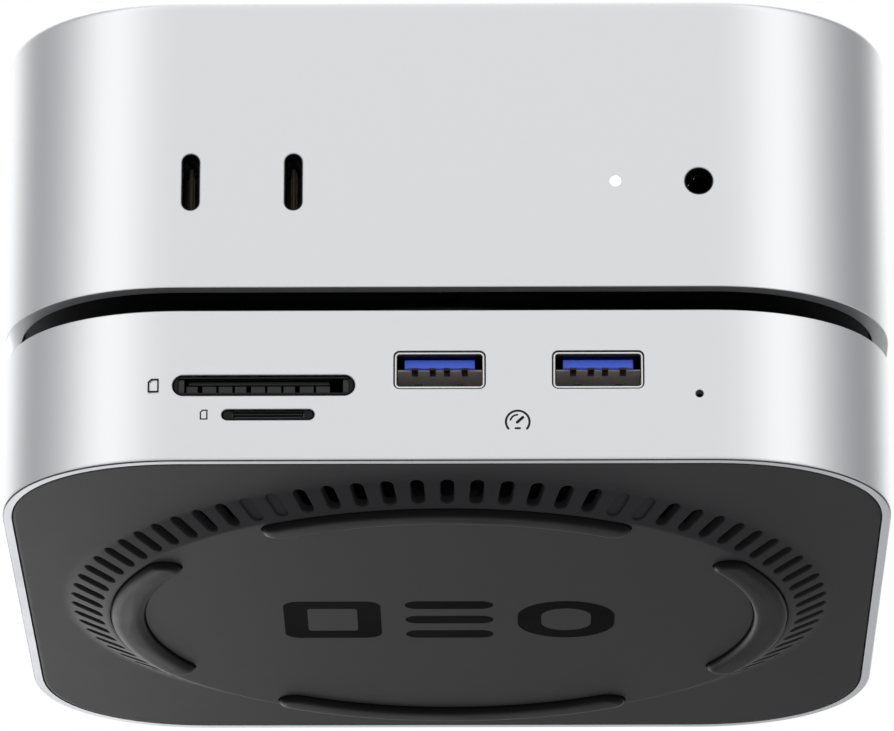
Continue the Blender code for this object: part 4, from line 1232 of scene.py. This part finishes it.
@dataclass
class UsbA:
    """A USB-A receptacle: a folded steel shell, and the blue tongue with its contacts underneath."""

    name: str
    width: float = 12.6 * MM
    height: float = 5.35 * MM
    corner: float = 0.7 * MM
    sheet: float = 0.28 * MM

    def build(self) -> None:
        """Makes the shell, the tongue and the contacts."""
        low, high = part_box("usb_a_shell_" + self.name)
        middle = (low + high) / 2
        x, z, face, back = middle.x, middle.z, low.y, high.y
        outer = Slab(self.width, self.height, self.corner, 6)
        inner = outer.grown(-self.sheet)
        lip = 0.09 * MM
        mesh = bmesh.new()
        steps = ((outer, back), (outer, face + lip), (outer.grown(-lip), face), (inner.grown(lip), face))
        loft(mesh, row(x, z, *steps, (inner, face + lip), (inner, back)), Ends.RING)
        shell = new_piece("usb_a_sleeve_" + self.name, mesh)
        dress(shell, NICKEL, Body.HUB, "nickel_steel", "usb_a_shell_" + self.name)
        self.inside(x, z, face, back)
        mesh = bmesh.new()
        floor = z - self.height / 2 + self.sheet
        for offset in (-2.95 * MM, 2.95 * MM):
            corner = (x + offset - 0.55 * MM, face + 0.1 * MM, floor - 0.02 * MM)
            brick(mesh, corner, (x + offset + 0.55 * MM, face + 4 * MM, floor + 0.34 * MM), 0.05 * MM)
        roof = z + self.height / 2 - self.sheet
        brick(mesh, (x - 5.9 * MM, face + 0.5 * MM, roof - 0.14 * MM), (x + 5.9 * MM, back, roof + 0.02 * MM))
        dress(new_piece("usb_a_latches_" + self.name, mesh), BLACK_ABS, Body.HUB, "black_plastic")

    def inside(self, x: float, z: float, face: float, back: float) -> None:
        """Makes the tongue, its grey underside, the plug behind it and the four springs.

        Args:
            x: The port's middle across the hub.
            z: Its height.
            face: The Y of its mouth.
            back: The Y of its rear end.
        """
        level, thick, wide = z + 1.44 * MM, 1.31 * MM, 9.9 * MM
        mesh = bmesh.new()
        blade = Slab(wide, thick, 0.12 * MM, 3)
        tip = (blade.grown(-0.1 * MM), face + 1.6 * MM)
        loft(mesh, row(x, level, (blade, back - 3.2 * MM), (blade, face + 1.7 * MM), tip))
        name = "usb_a_blade_" + self.name
        dress(new_piece(name, mesh), BLUE_PBT, Body.HUB, "blue_plastic", "usb_a_tongue_" + self.name)
        under = level - thick / 2
        mesh = bmesh.new()
        prism(mesh, Slab(11.6 * MM, 4.4 * MM, 0.2 * MM, 3), upright(x, back, z), upright(x, back - 3.4 * MM, z))
        top = (x + 5.9 * MM, back - 3 * MM, under - 0.02 * MM)
        brick(mesh, (x - 5.9 * MM, face + 2.2 * MM, under - 0.22 * MM), top)
        dress(new_piece("usb_a_plug_" + self.name, mesh), PLUG_ABS, Body.HUB, "black_plastic")
        mesh = bmesh.new()
        for offset in (-3.5 * MM, -1.0 * MM, 1.0 * MM, 3.5 * MM):
            low_corner = (x + offset - 0.45 * MM, face + 1.5 * MM, under - 0.3 * MM)
            brick(mesh, low_corner, (x + offset + 0.45 * MM, face + 4.2 * MM, under + 0.06 * MM), 0.1 * MM)
        # The springs' dark colour is painted shade under the tongue.
        dress(new_piece("usb_a_springs_" + self.name, mesh), SHADED_BRONZE, Body.HUB, "nickel_steel")


@dataclass
class CardSlots:
    """The two card readers. Each fills its slot with a nose that is open between two end blocks."""

    def build(self) -> None:
        """Makes both readers."""
        self.reader("sd_socket", "sd_reader", slot_outline(25.3 * MM, 2.7 * MM, 10), (24.1 * MM, 2.1 * MM))
        self.reader("microsd_socket", "micro_reader", slot_outline(12.7 * MM, 1.25 * MM, 8), (10.4 * MM, 0.85 * MM))
        self.full_size_inside()
        self.micro_inside()

    def reader(self, node: str, name: str, nose: Slab, mouth: tuple[float, float]) -> None:
        """Makes a reader's body with its open nose.

        Args:
            node: The CAD node it stands for.
            name: The piece's name.
            nose: The outline that fills the slot in the shell.
            mouth: The width and height of the opening.
        """
        low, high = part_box(node)
        middle = (low + high) / 2
        x, z, face, shoulder = middle.x, middle.z, low.y, -61.2 * MM
        body = Slab(high.x - low.x, high.z - low.z, 0.2 * MM, 2)
        mesh = bmesh.new()
        loft(mesh, row(
            x, z, (body, high.y), (body, shoulder), (nose, shoulder), (nose, face + 0.1 * MM),
            (nose.grown(-0.1 * MM), face),
        ))
        piece = new_piece(name, mesh)
        cutters = bmesh.new()
        opening = Slab(mouth[0], mouth[1], 0.12 * MM, 2)
        prism(cutters, opening, upright(x, face - 1 * MM, z), upright(x, face + 12 * MM, z))
        carve(piece, cutters)
        dress(piece, BLACK_ABS, Body.HUB, "black_plastic", node)

    def full_size_inside(self) -> None:
        """Makes the full-size reader's end blocks, its upper bar and the row of contact ribs below."""
        low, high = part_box("sd_socket")
        middle = (low + high) / 2
        x, z, face = middle.x, middle.z, low.y
        mesh = bmesh.new()
        for side in (-1, 1):
            ends = sorted((x + side * 12.0 * MM, x + side * 11.15 * MM))
            high_corner = (ends[1], face + 6 * MM, z + 0.98 * MM)
            brick(mesh, (ends[0], face + 0.25 * MM, z - 0.98 * MM), high_corner, 0.08 * MM)
        high_corner = (x + 9.2 * MM, face + 7 * MM, z + 1.0 * MM)
        brick(mesh, (x - 10.6 * MM, face + 1.3 * MM, z + 0.5 * MM), high_corner, 0.08 * MM)
        for index in range(9):
            start = x - 10.9 * MM + index * 2.28 * MM
            brick(
                mesh,
                (start, face + 0.9 * MM, z - 0.98 * MM),
                (start + (1.95 if index % 3 else 1.6) * MM, face + 7 * MM, z + 0.2 * MM),
                0.06 * MM,
            )
        dress(new_piece("sd_ribs", mesh), CHARCOAL_ABS, Body.HUB, "black_plastic")

    def micro_inside(self) -> None:
        """Makes the small reader's end blocks and its two thin rails."""
        low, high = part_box("microsd_socket")
        middle = (low + high) / 2
        x, z, face = middle.x, middle.z, low.y
        mesh = bmesh.new()
        for side in (-1, 1):
            ends = sorted((x + side * 5.19 * MM, x + side * 4.9 * MM))
            brick(mesh, (ends[0], face + 0.2 * MM, z - 0.4 * MM), (ends[1], face + 4 * MM, z + 0.4 * MM), 0.04 * MM)
        for level in (-0.25, 0.22):
            brick(
                mesh,
                (x - 4.8 * MM, face + 0.35 * MM, z + level * MM - 0.09 * MM),
                (x + 4.8 * MM, face + 5 * MM, z + level * MM + 0.09 * MM),
                0.03 * MM,
            )
        dress(new_piece("micro_rails", mesh), CHARCOAL_ABS, Body.HUB, "black_plastic")


@dataclass
class Signs:
    """The printed signs beside the hub's ports, in the engraved recesses."""

    def build(self) -> None:
        """Fills the recesses with ink."""
        mesh = engravings(0.055 * MM, 0.012 * MM)
        dress(new_piece("port_signs", mesh), GREY_INK, Body.HUB, "anodised_aluminium")


@dataclass
class KeptNodes:
    """The CAD nodes whose shape is right as it is."""

    finishes: tuple[tuple[Finish, tuple[str, ...]], ...] = (
        (NICKEL, tuple(f"cover_screw_{end}_{side}" for end in ("front", "rear") for side in ("left", "right"))),
        # The plate screws are coloured near black: painted shade for the dark gap under the PC.
        (SCREW_STEEL_PAINTED_SHADE, tuple(f"plate_screw_{place}" for place in ("front", "right", "rear", "left"))),
        (BLACK_ABS, ("seat_dish", "hub_controller", "hub_drive", "hub_drive_socket", "pc_bottom_plate", "fan_housing",
                     "storage_module", "speaker", "power_switch", "power_button")),
        (SILICONE, ("seat_ring", "pc_foot_ring")),
        (MASKED_BOARD, ("hub_board", "logic_board")),
        (TINNED_STEEL, ("processor", "power_supply", "antenna")),
        (SMOKED_LENS, ("hub_light_pipe",)),
        (CHARCOAL_ABS, ("fan_rotor",)),
        (BARE_ALUMINIUM, ("heat_sink",)),
    )

    def build(self) -> None:
        """Dresses each node."""
        for finish, nodes in self.finishes:
            for node in nodes:
                dress_node(node, finish)


# The studio


@dataclass
class Studio:
    """A white room with soft light from every side, dimmer at the two flanks."""

    floor_height: float = -1.2
    camera_place: tuple[float, float, float] = (11.158 * MM, -1098.668 * MM, -353.5 * MM)
    pitch: float = 0.3442
    yaw: float = -0.0105
    roll: float = 0.001
    lens: float = 315.5
    strength: float = 1.6
    fill_place: tuple[float, float, float] = (-0.2, 0.45, -0.13)
    fill_size: float = 0.25
    fill_watts: float = 0.6

    def build(self) -> None:
        """Makes the floor, the light and the camera."""
        self.floor()
        self.world()
        self.fill()
        self.camera()
        bpy.context.scene.view_settings.view_transform = "Standard"

    def floor(self) -> None:
        """Makes the pale floor, well below the object so that its underside can be seen."""
        mesh = bmesh.new()
        bmesh.ops.create_grid(mesh, x_segments=8, y_segments=8, size=40.0)
        bmesh.ops.translate(mesh, vec=(0.0, 0.0, self.floor_height), verts=list(mesh.verts))
        piece = new_piece("floor", mesh)
        paper = Finish("pale_paper", "#c6c6c6", 0.8, mottle=0.005, mottle_mm=400.0, grain_depth_mm=0.02, specular=0.2)
        piece.data.materials.append(paper.material())

    def world(self) -> None:
        """Lights the room by direction: each stop is a bearing from the front and how bright it is there."""
        world = bpy.data.worlds.new("studio")
        bpy.context.scene.world = world
        world.use_nodes = True
        tree = world.node_tree
        tree.nodes.clear()
        way = add_node(tree, "ShaderNodeTexCoord").outputs["Generated"]
        parts = add_node(tree, "ShaderNodeSeparateXYZ", links={"Vector": way}).outputs
        ahead = add_node(tree, "ShaderNodeMath", {1: -1.0}, {0: parts["Y"]}, operation="MULTIPLY").outputs["Value"]
        turn = add_node(tree, "ShaderNodeMath", links={0: parts["X"], 1: ahead}, operation="ARCTAN2").outputs["Value"]
        share = add_node(
            tree, "ShaderNodeMapRange", {"From Min": -math.pi, "From Max": math.pi}, {"Value": turn}
        ).outputs["Result"]
        bearings = add_node(tree, "ShaderNodeValToRGB", links={"Fac": share})
        stops = [((bearing + 180) / 360, (level, level, level * (1.05 - 0.06 * level), 1.0))
                 for bearing, level in self.bearings()]
        fill_ramp(bearings, stops)
        height = add_node(tree, "ShaderNodeMapRange", {"From Min": -1.0, "From Max": 1.0}, {"Value": parts["Z"]})
        rise = add_node(tree, "ShaderNodeValToRGB", links={"Fac": height.outputs["Result"]})
        fill_ramp(rise, [(0.0, (0.7, 0.7, 0.7, 1.0)), (0.5, (1.0, 1.0, 1.0, 1.0)), (1.0, (1.0, 1.0, 1.0, 1.0))])
        product = add_node(tree, "ShaderNodeMix", {0: 1.0}, {6: bearings.outputs["Color"], 7: rise.outputs["Color"]},
                           data_type="RGBA", blend_type="MULTIPLY")
        light = add_node(tree, "ShaderNodeBackground", {"Strength": self.strength}, {"Color": product.outputs[2]})
        seen = add_node(tree, "ShaderNodeBackground", {"Color": (1.0, 1.0, 1.0, 1.0), "Strength": 1.0})
        camera = add_node(tree, "ShaderNodeLightPath").outputs["Is Camera Ray"]
        mixed = add_node(tree, "ShaderNodeMixShader", links={0: camera, 1: light.outputs[0], 2: seen.outputs[0]})
        add_node(tree, "ShaderNodeOutputWorld", links={"Surface": mixed.outputs[0]})

    def fill(self) -> None:
        """Lights the underside a little more from the left rear, so that the plate has a slow gradient."""
        data = bpy.data.lights.new("low_fill", "AREA")
        data.size, data.energy = self.fill_size, self.fill_watts
        light = bpy.data.objects.new("low_fill", data)
        bpy.context.scene.collection.objects.link(light)
        place = Vector(self.fill_place)
        light.matrix_world = Matrix.Translation(place) @ place.to_track_quat("Z", "Y").to_matrix().to_4x4()
        light.visible_camera = False

    def bearings(self) -> list[tuple[float, float]]:
        """How bright the room is at each bearing in degrees, from the left rear round the front to the right rear."""
        half = [(0, 0.59), (16, 0.6), (32, 0.88), (43, 1.0), (55, 0.86), (74, 0.46), (94, 0.24), (118, 0.17),
                (134, 0.4), (150, 0.95), (166, 0.95)]
        left = [(-(bearing - 5 * (bearing > 90)), level * (1.32 if 80 < bearing < 150 else 1.0))
                for bearing, level in reversed(half)]
        return [(-180, 0.7), *left, *half[1:], (180, 0.7)]

    def camera(self) -> None:
        """Makes the camera, below the object and looking up at its front."""
        data = bpy.data.cameras.new("camera")
        data.lens, data.sensor_width = self.lens, 36.0
        data.clip_start, data.clip_end = 0.05, 200.0
        camera = bpy.data.objects.new("camera", data)
        bpy.context.scene.collection.objects.link(camera)
        ahead = Vector((math.sin(self.yaw) * math.cos(self.pitch), math.cos(self.yaw) * math.cos(self.pitch),
                        math.sin(self.pitch)))
        right = Vector((math.cos(self.yaw), -math.sin(self.yaw), 0.0))
        up = right.cross(ahead)
        turned = right * math.cos(self.roll) + up * math.sin(self.roll)
        up = turned.cross(ahead)
        rotation = Matrix((turned, up, -ahead)).transposed()
        camera.matrix_world = Matrix.Translation(self.camera_place) @ rotation.to_4x4()
        bpy.context.scene.camera = camera


def main() -> None:
    """Builds the sub-assemblies in order."""
    logging.basicConfig(level=logging.INFO, format="%(name)s %(message)s")
    Housing().build()
    for name in ("left", "right"):
        UsbC(f"front_usb_c_{name}_shell", f"front_usb_c_{name}_tongue", Side.FRONT, Body.COMPUTER).build()
    for name in ("inner", "middle", "outer"):
        UsbC(f"rear_usb_c_{name}_shell", f"rear_usb_c_{name}_tongue", Side.REAR, Body.COMPUTER).build()
    UsbC("host_port_shell", "host_port_tongue", Side.REAR, Body.HUB, upright=False).build()
    Sleeves().build()
    FrontDetails().build()
    RearSockets().build()
    FootVents().build()
    HubShell().build()
    BaseCover().build()
    RubberFeet().build()
    for name in ("left", "right"):
        UsbA(name).build()
    CardSlots().build()
    Signs().build()
    KeptNodes().build()
    Studio().build()


if __name__ == "__main__":
    main()
